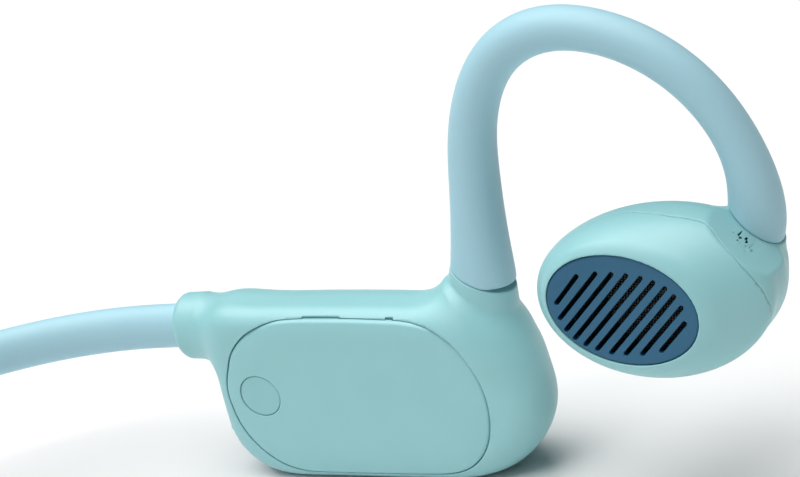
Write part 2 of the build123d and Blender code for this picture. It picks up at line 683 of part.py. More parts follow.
# charge flap, its bead and neck
skin_block = housing_block(-0.2)
with BuildPart() as charge_flap:
    add(skin_block.part)
    extrude(corner_sector(3.72, 9.0, -88, -1.5, Plane.YZ.offset(FLAP_X0)), amount=FLAP_X1 - FLAP_X0, mode=Mode.INTERSECT)
    with BuildSketch(Plane.YZ.offset(59.15)):
        with Locations((8.92, 5.1)):
            Rectangle(0.8, 1.0)
    extrude(amount=3.7)
    with BuildSketch(Plane.YZ.offset(59.15)):
        with Locations((BEAD_Y, BEAD_Z)):
            Circle(BEAD_R)
    extrude(amount=3.7)
save(charge_flap, "charge_flap")

SOCKET_PLANE = Plane(origin=(62.15, FLAP_Y, FLAP_Z), x_dir=(1, 0, 0), z_dir=(0, 1, -1))
with BuildPart() as charge_socket:
    with BuildSketch(SOCKET_PLANE.offset(-1.4)):
        RectangleRounded(6.5, 2.3, 0.85)
    extrude(amount=4.9)
    with BuildSketch(SOCKET_PLANE.offset(-0.8)):
        RectangleRounded(5.9, 1.7, 0.8)
    extrude(amount=6, mode=Mode.SUBTRACT)
    with BuildSketch(SOCKET_PLANE.offset(-1.0)):
        Rectangle(4.4, 0.5)
    extrude(amount=3.9)
save(charge_socket, "charge_socket")

# right housing's electronics, made on the left and mirrored
with BuildPart() as r_board:
    with BuildSketch(Plane.YZ.offset(63.5)):
        with Locations((-9.2, 9.8)):
            RectangleRounded(20.6, 12.2, 1.0)
    extrude(amount=0.8)
mirrored(r_board, "main_board")

with BuildPart() as r_module:
    with BuildSketch(Plane.YZ.offset(61.6)):
        with Locations((-12.0, 10.0)):
            RectangleRounded(11.0, 9.0, 0.4)
    extrude(amount=1.85)
    fillet(r_module.faces().sort_by(Axis.X)[0].edges(), radius=0.3)
mirrored(r_module, "radio_module")

with BuildPart() as r_switches:
    with BuildSketch(Plane.YZ.offset(64.32)):
        with Locations((VOL_Y[0], BUTTON_Z), (VOL_Y[1], BUTTON_Z)):
            RectangleRounded(3.4, 2.8, 0.3)
    extrude(amount=0.55)
    with BuildSketch(Plane.YZ.offset(64.8)):
        with Locations((VOL_Y[0], BUTTON_Z), (VOL_Y[1], BUTTON_Z)):
            Circle(0.8)
    extrude(amount=0.32)
mirrored(r_switches, "volume_switches")

vol_a = face_button("volume_up_button", VOL_Y[0], 3.3, 2.7)
mirrored(vol_a, "volume_up_button")
vol_b = face_button("volume_down_button", VOL_Y[1], 3.3, 2.7)
mirrored(vol_b, "volume_down_button")

with BuildPart() as r_mic:
    with BuildSketch(Plane.XY.offset(1.35)):
        with Locations((62.6, -16)):
            RectangleRounded(2.6, 3.4, 0.2)
    extrude(amount=1.0)
mirrored(r_mic, "microphone")
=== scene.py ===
import json
import math

import bpy
import numpy as np
from mathutils import Matrix, Vector


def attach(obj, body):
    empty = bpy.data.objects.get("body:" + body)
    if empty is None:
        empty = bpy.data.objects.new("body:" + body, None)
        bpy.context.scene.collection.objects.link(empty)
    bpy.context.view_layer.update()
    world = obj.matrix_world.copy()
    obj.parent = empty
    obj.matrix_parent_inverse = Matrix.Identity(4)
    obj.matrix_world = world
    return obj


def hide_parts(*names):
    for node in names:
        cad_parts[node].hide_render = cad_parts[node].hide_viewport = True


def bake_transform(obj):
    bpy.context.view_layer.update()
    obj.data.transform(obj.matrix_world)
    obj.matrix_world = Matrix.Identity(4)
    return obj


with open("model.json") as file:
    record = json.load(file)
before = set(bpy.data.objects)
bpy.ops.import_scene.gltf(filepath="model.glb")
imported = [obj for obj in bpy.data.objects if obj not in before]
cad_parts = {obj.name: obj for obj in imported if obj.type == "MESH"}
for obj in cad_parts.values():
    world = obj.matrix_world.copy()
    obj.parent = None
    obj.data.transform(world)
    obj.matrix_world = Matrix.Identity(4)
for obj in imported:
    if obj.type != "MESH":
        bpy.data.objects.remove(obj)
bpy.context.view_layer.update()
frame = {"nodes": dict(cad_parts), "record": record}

scene = bpy.context.scene
NODES = frame["nodes"]

# ---------------------------------------------------------------- camera
CAM_POS = (-0.119697, -0.120523, 0.111420)
CAM_RIGHT = (0.4067, -0.8856, -0.2243)
CAM_UP = (0.4357, -0.0278, 0.8996)
CAM_LOOK = (0.8030, 0.4636, -0.3746)
cam_data = bpy.data.cameras.new("camera")
cam_data.lens = 99.0
cam_data.sensor_width = 36.0
cam_data.clip_start = 0.01
cam_data.clip_end = 20.0
camera = bpy.data.objects.new("camera", cam_data)
scene.collection.objects.link(camera)
m = Matrix.Identity(4)
for r in range(3):
    m[r][0], m[r][1], m[r][2], m[r][3] = CAM_RIGHT[r], CAM_UP[r], -CAM_LOOK[r], CAM_POS[r]
camera.matrix_world = m
scene.camera = camera
scene.view_settings.view_transform = "Standard"
scene.view_settings.look = "None"
scene.view_settings.exposure = 0.0
scene.view_settings.gamma = 1.0

# ---------------------------------------------------------------- dimensions, mm
SIDE_X = 62.6
BAND_Z, BAND_H, BAND_W, BAND_START_Y, BAND_ARC_Y = 16.60, 5.10, 3.95, 8.2, 15.1
BAND_ARCS = ((36.7, 30.0), (43.2, 50.0), (159.9, 20.0), (43.2, 50.0), (36.7, 30.0))
IN_X, OUT_X, TOP_Z, REAR_Y, WALL = 57.3, 68.6, 20.55, 9.1, 1.3
COLLAR_END, COLLAR_Z = 14.05, 16.57
COVER_X, COVER_T = 57.1, 1.3
LEDGE_X, CAV_X, LEDGE = 58.8, 59.8, 1.1
PLUG_Y, PLUG_Z, PLUG_R = 3.2, 10.7, 2.4
NECK_U, NECK_Z = 0.25, 21.8
LEAN = math.radians(8.4)
HOOK_LEG = 13.659
HOOK_ARCS = ((20.931, 24.03), (9.994, 63.78), (18.144, 33.47), (17.959, 41.53), (13.577, 20.0))
RING_TILT, RING_LIFT = 0.30, 0.20
TOE = np.array([0.04, 1.0, 0.0]); TOE /= np.linalg.norm(TOE)
SIDE = np.array([1.0, -0.04, 0.0]); SIDE /= np.linalg.norm(SIDE)
HOOK_O = np.array([SIDE_X, -24.0, 0.0])
FLAP_Y, FLAP_Z, FLAP_X0, FLAP_X1 = 4.3, 5.0, 58.45, 65.4
BEAD_Y, BEAD_Z = 8.95, 5.6
BUTTON_Y, BUTTON_Z = -9.0, 9.2
VOL_Y = (-13.4, -4.6)
POD_C = np.array([57.2, -45.3, 22.6])
POD_N = np.array([-0.985, 0.06, 0.10]); POD_N /= np.linalg.norm(POD_N)
_e1 = np.cross([0, 0, 1.0], POD_N); _e1 /= np.linalg.norm(_e1)
_e2 = np.cross(POD_N, _e1)
_t = math.radians(-10.0)
POD_X = math.cos(_t) * _e1 + math.sin(_t) * _e2
POD_Y = np.cross(POD_N, POD_X)
SEAM_S = 2.3
GRILLE_C, GRILLE_AB = (-1.74, 0.05), (7.74, 5.43)


# ---------------------------------------------------------------- distance-field tools
def smin(a, b, k):
    h = np.maximum(k - np.abs(a - b), 0.0) / k
    return np.minimum(a, b) - h * h * k * 0.25


def rmax(a, b, r):
    """Intersection whose edge is rounded to radius r."""
    return np.minimum(-r, np.maximum(a, b)) + np.hypot(np.maximum(r + a, 0.0), np.maximum(r + b, 0.0))


def step01(t):
    t = np.clip(t, 0.0, 1.0)
    return t * t * (3 - 2 * t)


def ell(u, v, a, b):
    """Radial distance to an ellipse."""
    rho = np.sqrt((u / a) ** 2 + (v / b) ** 2) + 1e-9
    return np.hypot(u, v) * (1 - 1 / rho) + np.where(rho < 1e-6, -np.minimum(a, b), 0.0)


def rounded_outline(pts, radii, seg=14):
    out = []
    n = len(pts)
    for i in range(n):
        p, a, b = (np.array(pts[j], float) for j in (i, (i - 1) % n, (i + 1) % n))
        u, v = (a - p) / np.linalg.norm(a - p), (b - p) / np.linalg.norm(b - p)
        half = math.acos(np.clip(u @ v, -1, 1)) / 2
        r = radii[i]
        d = r / math.tan(half)
        c = p + (u + v) / np.linalg.norm(u + v) * (r / math.sin(half))
        s0, s1 = p + u * d - c, p + v * d - c
        a0, a1 = math.atan2(s0[1], s0[0]), math.atan2(s1[1], s1[0])
        turn = (a1 - a0 + math.pi) % (2 * math.pi) - math.pi
        out += [c + r * np.array([math.cos(a0 + turn * k / seg), math.sin(a0 + turn * k / seg)]) for k in range(seg + 1)]
    return np.array(out)


def flowing(pts, n=360, soft=0.5):
    """Closed smooth outline through the given points."""
    p = np.array(pts, float)
    m = len(p)
    out = []
    for i in range(m):
        a, b, c, d = p[i - 1], p[i], p[(i + 1) % m], p[(i + 2) % m]
        t = np.linspace(0, 1, 24, endpoint=False)[:, None]
        out.append(0.5 * (2 * b + (c - a) * t + (2 * a - 5 * b + 4 * c - d) * t ** 2 + (3 * b - a - 3 * c + d) * t ** 3))
    q = np.vstack(out)
    e = np.linalg.norm(np.roll(q, -1, 0) - q, axis=1)
    s = np.concatenate([[0], np.cumsum(e)])
    w = np.linspace(0, s[-1], n, endpoint=False)
    q = np.stack([np.interp(w, s, np.append(q[:, k], q[0, k])) for k in (0, 1)], 1)
    r = int(3 * soft / (s[-1] / n)) + 1
    g = np.exp(-0.5 * (np.arange(-r, r + 1) * (s[-1] / n) / soft) ** 2)
    g /= g.sum()
    ext = np.vstack([q[-r:], q, q[:r]])
    sm = np.stack([np.convolve(ext[:, k], g, "valid") for k in (0, 1)], 1)
    ext = np.vstack([(q - sm)[-r:], q - sm, (q - sm)[:r]])
    return sm + np.stack([np.convolve(ext[:, k], g, "valid") for k in (0, 1)], 1)


class Field:
    """Signed distance to a closed outline on a fine grid, read back with cubic interpolation."""

    def __init__(self, pts, lo, hi, h, soft=0.0, depth=3.0):
        self.lo, self.h = np.array(lo, float), h
        nu, nv = (np.ceil((np.array(hi) - self.lo) / h).astype(int) + 1)
        U, V = np.meshgrid(self.lo[0] + h * np.arange(nu), self.lo[1] + h * np.arange(nv), indexing="ij")
        best = np.full(U.shape, 1e9)
        inside = np.zeros(U.shape, bool)
        for a, b in zip(pts, np.roll(pts, -1, 0)):
            e = b - a
            l2 = e @ e
            if l2 < 1e-12:
                continue
            t = np.clip(((U - a[0]) * e[0] + (V - a[1]) * e[1]) / l2, 0, 1)
            best = np.minimum(best, (U - a[0] - t * e[0]) ** 2 + (V - a[1] - t * e[1]) ** 2)
            cross = (a[1] > V) != (b[1] > V)
            if cross.any():
                uu = a[0] + (V - a[1]) * e[0] / (e[1] if abs(e[1]) > 1e-12 else 1e-12)
                inside ^= cross & (U < uu)
        D = np.sqrt(best) * np.where(inside, -1.0, 1.0)
        if soft:
            r = int(3 * soft / h)
            g = np.exp(-0.5 * (np.arange(-r, r + 1) * h / soft) ** 2)
            g /= g.sum()
            B = np.apply_along_axis(lambda q: np.convolve(np.pad(q, r, "edge"), g, "valid"), 0, D)
            B = np.apply_along_axis(lambda q: np.convolve(np.pad(q, r, "edge"), g, "valid"), 1, B)
            w = step01(-D / depth)
            D = D * (1 - w) + B * w
        self.D, self.n = D, (nu, nv)

    def __call__(self, u, v):
        u, v = np.broadcast_arrays(u, v)
        x = np.clip((u - self.lo[0]) / self.h, 1, self.n[0] - 3.001)
        y = np.clip((v - self.lo[1]) / self.h, 1, self.n[1] - 3.001)
        i, j = x.astype(int), y.astype(int)
        fx, fy = x - i, y - j

        def w(f):
            return (((-0.5 * f + 1) * f - 0.5) * f, (1.5 * f - 2.5) * f * f + 1,
                    ((-1.5 * f + 2) * f + 0.5) * f, (0.5 * f - 0.5) * f * f)
        wx, wy = w(fx), w(fy)
        out = 0.0
        for a in range(4):
            row = 0.0
            for b in range(4):
                row = row + wy[b] * self.D[i + a - 1, j + b - 1]
            out = out + wx[a] * row
        return out


def evaluate(f, P):
    return f(P[:, 0], P[:, 1], P[:, 2])


def gradient(f, P, eps=0.02):
    G = np.empty_like(P)
    for a in range(3):
        d = np.zeros(3)
        d[a] = eps
        G[:, a] = evaluate(f, P + d) - evaluate(f, P - d)
    return G / (np.linalg.norm(G, axis=1, keepdims=True) + 1e-12)


def contour(f, lo, hi, h):
    """Closed surface of f = 0 as quads, with crisp edges kept, and one normal for each corner."""
    lo = np.array(lo, float)
    n = np.ceil((np.array(hi) - lo) / h).astype(int) + 1
    ax = [lo[a] + h * np.arange(n[a]) for a in range(3)]
    Y, Z = np.meshgrid(ax[1], ax[2], indexing="ij")
    V = np.empty(tuple(n), np.float32)
    k = max(1, int(600000 / (n[1] * n[2])))
    for i in range(0, n[0], k):
        V[i:i + k] = f(ax[0][i:i + k, None, None], Y[None], Z[None])
    V[V == 0] = 1e-7
    S = V < 0
    if S[0].any() or S[-1].any() or S[:, 0].any() or S[:, -1].any() or S[:, :, 0].any() or S[:, :, -1].any():
        raise RuntimeError("a surface reaches the edge of its grid")
    pts, cells = [], []
    for a in range(3):
        s0, s1 = [slice(None)] * 3, [slice(None)] * 3
        s0[a], s1[a] = slice(0, -1), slice(1, None)
        c = np.argwhere(S[tuple(s0)] != S[tuple(s1)])
        e = np.zeros(3, int)
        e[a] = 1
        va = V[c[:, 0], c[:, 1], c[:, 2]].astype(float)
        vb = V[c[:, 0] + e[0], c[:, 1] + e[1], c[:, 2] + e[2]].astype(float)
        t0, t1, f0, f1 = np.zeros(len(c)), np.ones(len(c)), va.copy(), vb.copy()
        for _ in range(3):
            t = t0 + (t1 - t0) * np.clip(f0 / (f0 - f1), 0.02, 0.98)
            ft = evaluate(f, lo + h * (c + t[:, None] * e))
            same = (ft < 0) == (f0 < 0)
            t0, f0 = np.where(same, t, t0), np.where(same, ft, f0)
            t1, f1 = np.where(same, t1, t), np.where(same, f1, ft)
        t = t0 + (t1 - t0) * f0 / (f0 - f1)
        pts.append(lo + h * (c + t[:, None] * e))
        du, dv = np.zeros(3, int), np.zeros(3, int)
        du[(a + 1) % 3] = 1
        dv[(a + 2) % 3] = 1
        q = np.stack([c - du - dv, c - dv, c, c - du], 1)
        out = va < 0
        q[~out] = q[~out][:, ::-1]
        cells.append(q)
    P = np.concatenate(pts)
    C = np.concatenate(cells)
    N = gradient(f, P)
    lin = (C[..., 0] * n[1] + C[..., 1]) * n[2] + C[..., 2]
    ids, inv = np.unique(lin.ravel(), return_inverse=True)
    inv = inv.ravel()
    m = len(ids)
    Pr, Nr = np.repeat(P, 4, 0), np.repeat(N, 4, 0)
    cnt = np.bincount(inv, minlength=m).astype(float)
    mean = np.stack([np.bincount(inv, Pr[:, a], m) for a in range(3)], 1) / cnt[:, None]
    nm = np.stack([np.bincount(inv, Nr[:, a], m) for a in range(3)], 1) / cnt[:, None]
    A = np.empty((m, 3, 3))
    for a in range(3):
        for b in range(a, 3):
            A[:, a, b] = A[:, b, a] = np.bincount(inv, Nr[:, a] * Nr[:, b], m)
    d = ((Pr - mean[inv]) * Nr).sum(1)
    rhs = np.stack([np.bincount(inv, Nr[:, a] * d, m) for a in range(3)], 1)
    A += np.eye(3) * (0.03 * cnt[:, None, None])
    X = mean + np.linalg.solve(A, rhs[..., None])[..., 0]
    cell = np.stack([ids // (n[1] * n[2]), (ids // n[2]) % n[1], ids % n[2]], 1)
    X = np.clip(X, lo + h * (cell - 0.05), lo + h * (cell + 1.05))
    Q = inv.reshape(-1, 4)
    smooth = np.linalg.norm(nm, axis=1) > 0.985
    VN = gradient(f, X)
    LN = VN[Q]
    crease = ~smooth[Q]
    mid = X[Q].mean(1, keepdims=True)
    pos = (X[Q] + 0.33 * (mid - X[Q]))[crease]
    if len(pos):
        LN[crease] = gradient(f, pos, 0.01)
    return X, Q, LN


# ---------------------------------------------------------------- mesh output
def make(name, P, Q, LN, mats, body, replaced=(), mirror=False, mat_of=None):
    P = np.array(P, float)
    Q = np.asarray(Q)
    if mirror:
        P = P * [-1, 1, 1]
        Q = Q[:, ::-1]
        if LN is not None:
            LN = LN[:, ::-1] * [-1, 1, 1]
    me = bpy.data.meshes.new(name)
    k = Q.shape[1]
    me.vertices.add(len(P))
    me.vertices.foreach_set("co", (P * 0.001).astype(np.float32).ravel())
    me.loops.add(Q.size)
    me.loops.foreach_set("vertex_index", Q.astype(np.int32).ravel())
    me.polygons.add(len(Q))
    me.polygons.foreach_set("loop_start", np.arange(0, Q.size, k, dtype=np.int32))
    me.update(calc_edges=True)
    me.polygons.foreach_set("use_smooth", np.ones(len(Q), bool))
    if LN is not None:
        me.normals_split_custom_set(LN.reshape(-1, 3).astype(np.float32))
    for mt in (mats if isinstance(mats, (list, tuple)) else [mats]):
        me.materials.append(mt)
    if mat_of is not None:
        me.polygons.foreach_set("material_index", np.asarray(mat_of, np.int32))
    ob = bpy.data.objects.new(name, me)
    scene.collection.objects.link(ob)
    if body:
        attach(ob, body)
    if replaced:
        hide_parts(*replaced)
    return ob


def grid_faces(rings, around, close=True):
    i = np.arange(rings - 1)[:, None]
    j = np.arange(around)[None]
    a = i * around + j
    b = i * around + (j + 1) % around
    return np.stack([a, b, b + around, a + around], -1).reshape(-1, 4)


# ---------------------------------------------------------------- materials
def mix_colour(nt, a, b, fac_socket):
    mx = nt.nodes.new("ShaderNodeMix")
    mx.data_type = "RGBA"
    mx.inputs["A"].default_value = (*a, 1)
    mx.inputs["B"].default_value = (*b, 1)
    nt.links.new(fac_socket, mx.inputs["Factor"])
    return mx.outputs["Result"]


def noise(nt, scale, detail=2.0, rough=0.5, coord=None):
    if coord is None:
        coord = nt.nodes.new("ShaderNodeTexCoord").outputs["Object"]
    nz = nt.nodes.new("ShaderNodeTexNoise")
    nz.inputs["Scale"].default_value = scale
    nz.inputs["Detail"].default_value = detail
    nz.inputs["Roughness"].default_value = rough
    nt.links.new(coord, nz.inputs["Vector"])
    return nz.outputs["Fac"]


def ramp(nt, socket, lo, hi, to_lo, to_hi):
    mr = nt.nodes.new("ShaderNodeMapRange")
    for key, val in (("From Min", lo), ("From Max", hi), ("To Min", to_lo), ("To Max", to_hi)):
        mr.inputs[key].default_value = val
    nt.links.new(socket, mr.inputs["Value"])
    return mr.outputs["Result"]


def finish(name, base, rough=0.45, spread=0.02, rough_spread=0.04, grain=5200.0, depth=1.2e-6, metal=0.0,
           specular=0.5, sheen=0.0, coat=0.0, coarse=160.0, ior=None, transmission=0.0, sub=0.0, sub_scale=0.0006):
    """Moulded surface: base colour with slight mottling, uneven gloss and a fine grain."""
    mt = bpy.data.materials.new(name)
    mt.use_nodes = True
    nt = mt.node_tree
    bs = nt.nodes["Principled BSDF"]
    tc = nt.nodes.new("ShaderNodeTexCoord").outputs["Object"]
    dark = tuple(max(c * (1 - spread), 0) for c in base)
    light = tuple(min(c * (1 + spread), 1) for c in base)
    big = noise(nt, coarse, 3.0, 0.55, tc)
    nt.links.new(mix_colour(nt, dark, light, ramp(nt, big, 0.3, 0.7, 0, 1)), bs.inputs["Base Color"])
    mid = noise(nt, coarse * 5, 3.0, 0.6, tc)
    nt.links.new(ramp(nt, mid, 0.3, 0.7, rough - rough_spread, rough + rough_spread), bs.inputs["Roughness"])
    fine = noise(nt, grain, 2.0, 0.6, tc)
    soft = noise(nt, grain * 0.2, 2.0, 0.5, tc)
    ad = nt.nodes.new("ShaderNodeMath")
    ad.operation = "ADD"
    nt.links.new(fine, ad.inputs[0])
    nt.links.new(soft, ad.inputs[1])
    bp = nt.nodes.new("ShaderNodeBump")
    bp.inputs["Strength"].default_value = 0.6
    bp.inputs["Distance"].default_value = depth
    nt.links.new(ad.outputs[0], bp.inputs["Height"])
    nt.links.new(bp.outputs["Normal"], bs.inputs["Normal"])
    bs.inputs["Metallic"].default_value = metal
    bs.inputs["Specular IOR Level"].default_value = specular
    bs.inputs["Sheen Weight"].default_value = sheen
    bs.inputs["Sheen Roughness"].default_value = 0.4
    bs.inputs["Coat Weight"].default_value = coat
    bs.inputs["Transmission Weight"].default_value = transmission
    bs.inputs["Subsurface Weight"].default_value = sub
    bs.inputs["Subsurface Scale"].default_value = sub_scale
    bs.inputs["Subsurface Radius"].default_value = (1.0, 1.0, 1.0)
    if ior:
        bs.inputs["IOR"].default_value = ior
    mt.diffuse_color = (*base, 1)
    return mt


MINT = (0.288, 0.572, 0.597)
M = {
    "mint_shell": finish("soft_touch_mint", MINT, 0.40, 0.012, 0.04, 5200, 1.3e-6, specular=0.55),
    "mint_plug": finish("soft_touch_plug", tuple(c * 0.985 for c in MINT), 0.52, 0.015, 0.04, 5200, 1.3e-6, specular=0.4),
    "pale_silicone": finish("silicone_pale_blue", (0.365, 0.605, 0.690), 0.50, 0.012, 0.04, 7600, 1.0e-6, specular=0.38, sheen=0.05),
    "flap_rubber": finish("silicone_flap", (0.285, 0.570, 0.600), 0.56, 0.015, 0.04, 7600, 1.2e-6, specular=0.38),
    "blue_grille": finish("grille_blue", (0.022, 0.118, 0.215), 0.42, 0.03, 0.05, 6000, 1.2e-6, specular=0.38),
    "dark_mesh": finish("woven_mesh", (0.016, 0.016, 0.019), 0.66, 0.2, 0.08, 12000, 1.0e-6, specular=0.25),
    "seal_rubber": finish("seal_rubber", (0.028, 0.032, 0.036), 0.62, 0.1, 0.06, 4000, 2.0e-6),
    "steel": finish("spring_steel", (0.56, 0.57, 0.58), 0.30, 0.03, 0.08, 3000, 0.8e-6, metal=1.0),
    "cable_jacket": finish("cable_jacket", (0.03, 0.03, 0.035), 0.48, 0.08, 0.05, 4000, 1.4e-6),
    "brass_anchor": finish("brass_anchor", (0.66, 0.47, 0.20), 0.32, 0.05, 0.08, 3000, 1.0e-6, metal=1.0),
    "coil_copper": finish("coil_copper", (0.72, 0.30, 0.14), 0.30, 0.06, 0.08, 5000, 2.0e-6, metal=1.0),
    "magnet": finish("magnet_nickel", (0.50, 0.49, 0.47), 0.26, 0.04, 0.08, 2500, 1.0e-6, metal=1.0),
    "diaphragm_film": finish("diaphragm_film", (0.10, 0.10, 0.09), 0.24, 0.06, 0.05, 2500, 1.0e-6, coat=0.4),
    "black_plastic": finish("black_plastic", (0.022, 0.022, 0.024), 0.44, 0.1, 0.06, 4500, 1.5e-6),
    "battery_foil": finish("battery_foil", (0.62, 0.63, 0.65), 0.36, 0.04, 0.1, 900, 4.0e-6, metal=0.85),
    "circuit_board": finish("circuit_board", (0.015, 0.11, 0.06), 0.36, 0.25, 0.08, 1800, 3.0e-6, coat=0.3),
    "tin_can": finish("tin_can", (0.60, 0.60, 0.58), 0.30, 0.04, 0.1, 1500, 1.5e-6, metal=1.0),
    "led_white": finish("led_white", (0.86, 0.84, 0.74), 0.30, 0.03, 0.05, 3000, 1.0e-6, coat=0.3),
    "light_pipe": finish("light_pipe", (0.80, 0.87, 0.88), 0.20, 0.02, 0.05, 3000, 0.8e-6, ior=1.49, transmission=0.55),
}
SLOT_OF = {}
for entry in frame["record"].get("materials", []):
    for nd in entry.get("nodes", []) or []:
        SLOT_OF[nd] = entry.get("slot")

# ---------------------------------------------------------------- housing
OUTLINE = Field(flowing([(6.6, 20.50), (2.0, 20.52), (-4.0, 20.45), (-11.0, 20.30), (-16.5, 20.10), (-20.0, 19.75), (-23.0, 18.7),
                         (-25.5, 16.9), (-27.4, 14.6), (-28.6, 12.2), (-29.2, 9.8), (-29.0, 7.2), (-27.9, 4.75), (-26.0, 2.6),
                         (-23.6, 1.0), (-21.0, 0.22), (-18.0, 0.0), (-12.0, 0.0), (-5.0, 0.0), (0.5, 0.0), (3.7, 0.25),
                         (5.9, 1.1), (7.45, 2.4), (8.6, 4.2), (9.1, 6.2), (REAR_Y, 9.0), (REAR_Y, 12.0), (REAR_Y, 15.5),
                         (8.6, 18.7)], 420, 0.6),
                (-36.0, -7.0), (17.0, 29.0), 0.2, soft=1.4, depth=4.0)
COVER = Field(flowing([(6.6, 13.58), (5.45, 15.9), (3.28, 17.95), (0.6, 19.13), (-2.24, 19.55), (-7.48, 19.56), (-13.45, 19.36),
                       (-16.35, 19.12), (-18.55, 18.57), (-20.34, 17.58), (-21.75, 16.19), (-22.74, 14.32), (-23.35, 12.11),
                       (-23.54, 9.72), (-23.32, 7.5), (-22.71, 5.4), (-21.6, 3.6), (-20.0, 2.2), (-18.0, 1.45), (-15.0, 1.2),
                       (-8.9, 1.15), (-3.0, 1.15), (0.4, 1.35), (3.1, 2.35), (5.32, 4.35), (6.75, 6.9), (7.3, 9.9), (7.2, 11.8)],
                      420, 0.5),
              (-30.0, -5.0), (14.0, 26.0), 0.2, soft=0.8, depth=3.0)


def hook_frame(x, y, z):
    u = (x - SIDE_X) * TOE[0] + (y + 24.0) * TOE[1]
    w = (x - SIDE_X) * SIDE[0] + (y + 24.0) * SIDE[1]
    t = -(u - NECK_U) * math.sin(LEAN) + (z - NECK_Z) * math.cos(LEAN)
    p = (u - NECK_U) * math.cos(LEAN) + (z - NECK_Z) * math.sin(LEAN)
    return w, p, t


def neck_field(x, y, z):
    w, p, t = hook_frame(x, y, z)
    cut = t - RING_TILT * p - RING_LIFT
    tt = np.clip(cut, -30.0, 1.0)
    rx = 2.95 + 0.9 * (1 - np.exp(tt / 4.5))
    ry = 3.45 + 0.6 * (1 - np.exp(tt / 4.3))
    return np.maximum(ell(w, p - 0.25 * (1 - np.exp(tt / 3.0)), rx, ry), -14.0 - t), cut, p


def collar_field(x, y, z):
    g = np.clip(12.8 - y, 0, 12.0)
    far = np.maximum(g - 2.0, 0)
    rx, rz = 3.40 + 0.04 * np.minimum(g, 2.0) - 0.12 * far, 3.78 + 0.02 * np.minimum(g, 2.0) - 0.14 * far
    return np.maximum(rmax(ell(x - SIDE_X, z - COLLAR_Z + 0.12 * far, rx, rz), y - COLLAR_END, 1.1), 3.0 - y)


def body_field(x, y, z):
    """Outside of one housing, with its neck and collar, as one soft form."""
    d = OUTLINE(y, z)
    low, high = 1 - step01((z - 3.0) / 9.0), step01((z - 8.0) / 10.0)
    front, rear = step01((-16.5 - y) / 9.0), step01((y - 1.0) / 6.0)
    r_in = 1.7 + 0.3 * low + 0.6 * high
    r_in = r_in + (4.3 - r_in) * front * (1 - 0.35 * low)
    r_in = r_in + 0.3 * rear
    r_out = 5.6 + 1.2 * high + 1.6 * front * (1 - high) + 0.6 * rear * (1 - high)
    crown = 0.35 * (((y + 10.0) / 19.0) ** 2 + ((z - 9.8) / 10.0) ** 2)
    a = rmax(d, IN_X - x, r_in)
    b = rmax(a, x - (OUT_X - np.minimum(crown, 1.2)), r_out)
    neck, cut, p = neck_field(x, y, z)
    k = 0.3 + 4.4 * step01((-cut - 0.05) / (4.4 - 2.3 * step01((p + 1.5) / 4.5))) * (1 - 0.5 * step01((-cut - 6.0) / 5.0))
    c = smin(b, neck, k)
    c = rmax(c, cut, 0.14)
    return smin(c, collar_field(x, y, z), 3.0)


def cover_outline(y, z, grow=0.0):
    return COVER(y, z) - grow


def sector(y, z, r0):
    return np.maximum(r0 - np.hypot(y - FLAP_Y, z - FLAP_Z), np.maximum(FLAP_Y - y, z - FLAP_Z))


def box2(u, v, a, b, r):
    qu, qv = np.abs(u) - a + r, np.abs(v) - b + r
    return np.minimum(np.maximum(qu, qv), 0) + np.hypot(np.maximum(qu, 0), np.maximum(qv, 0)) - r


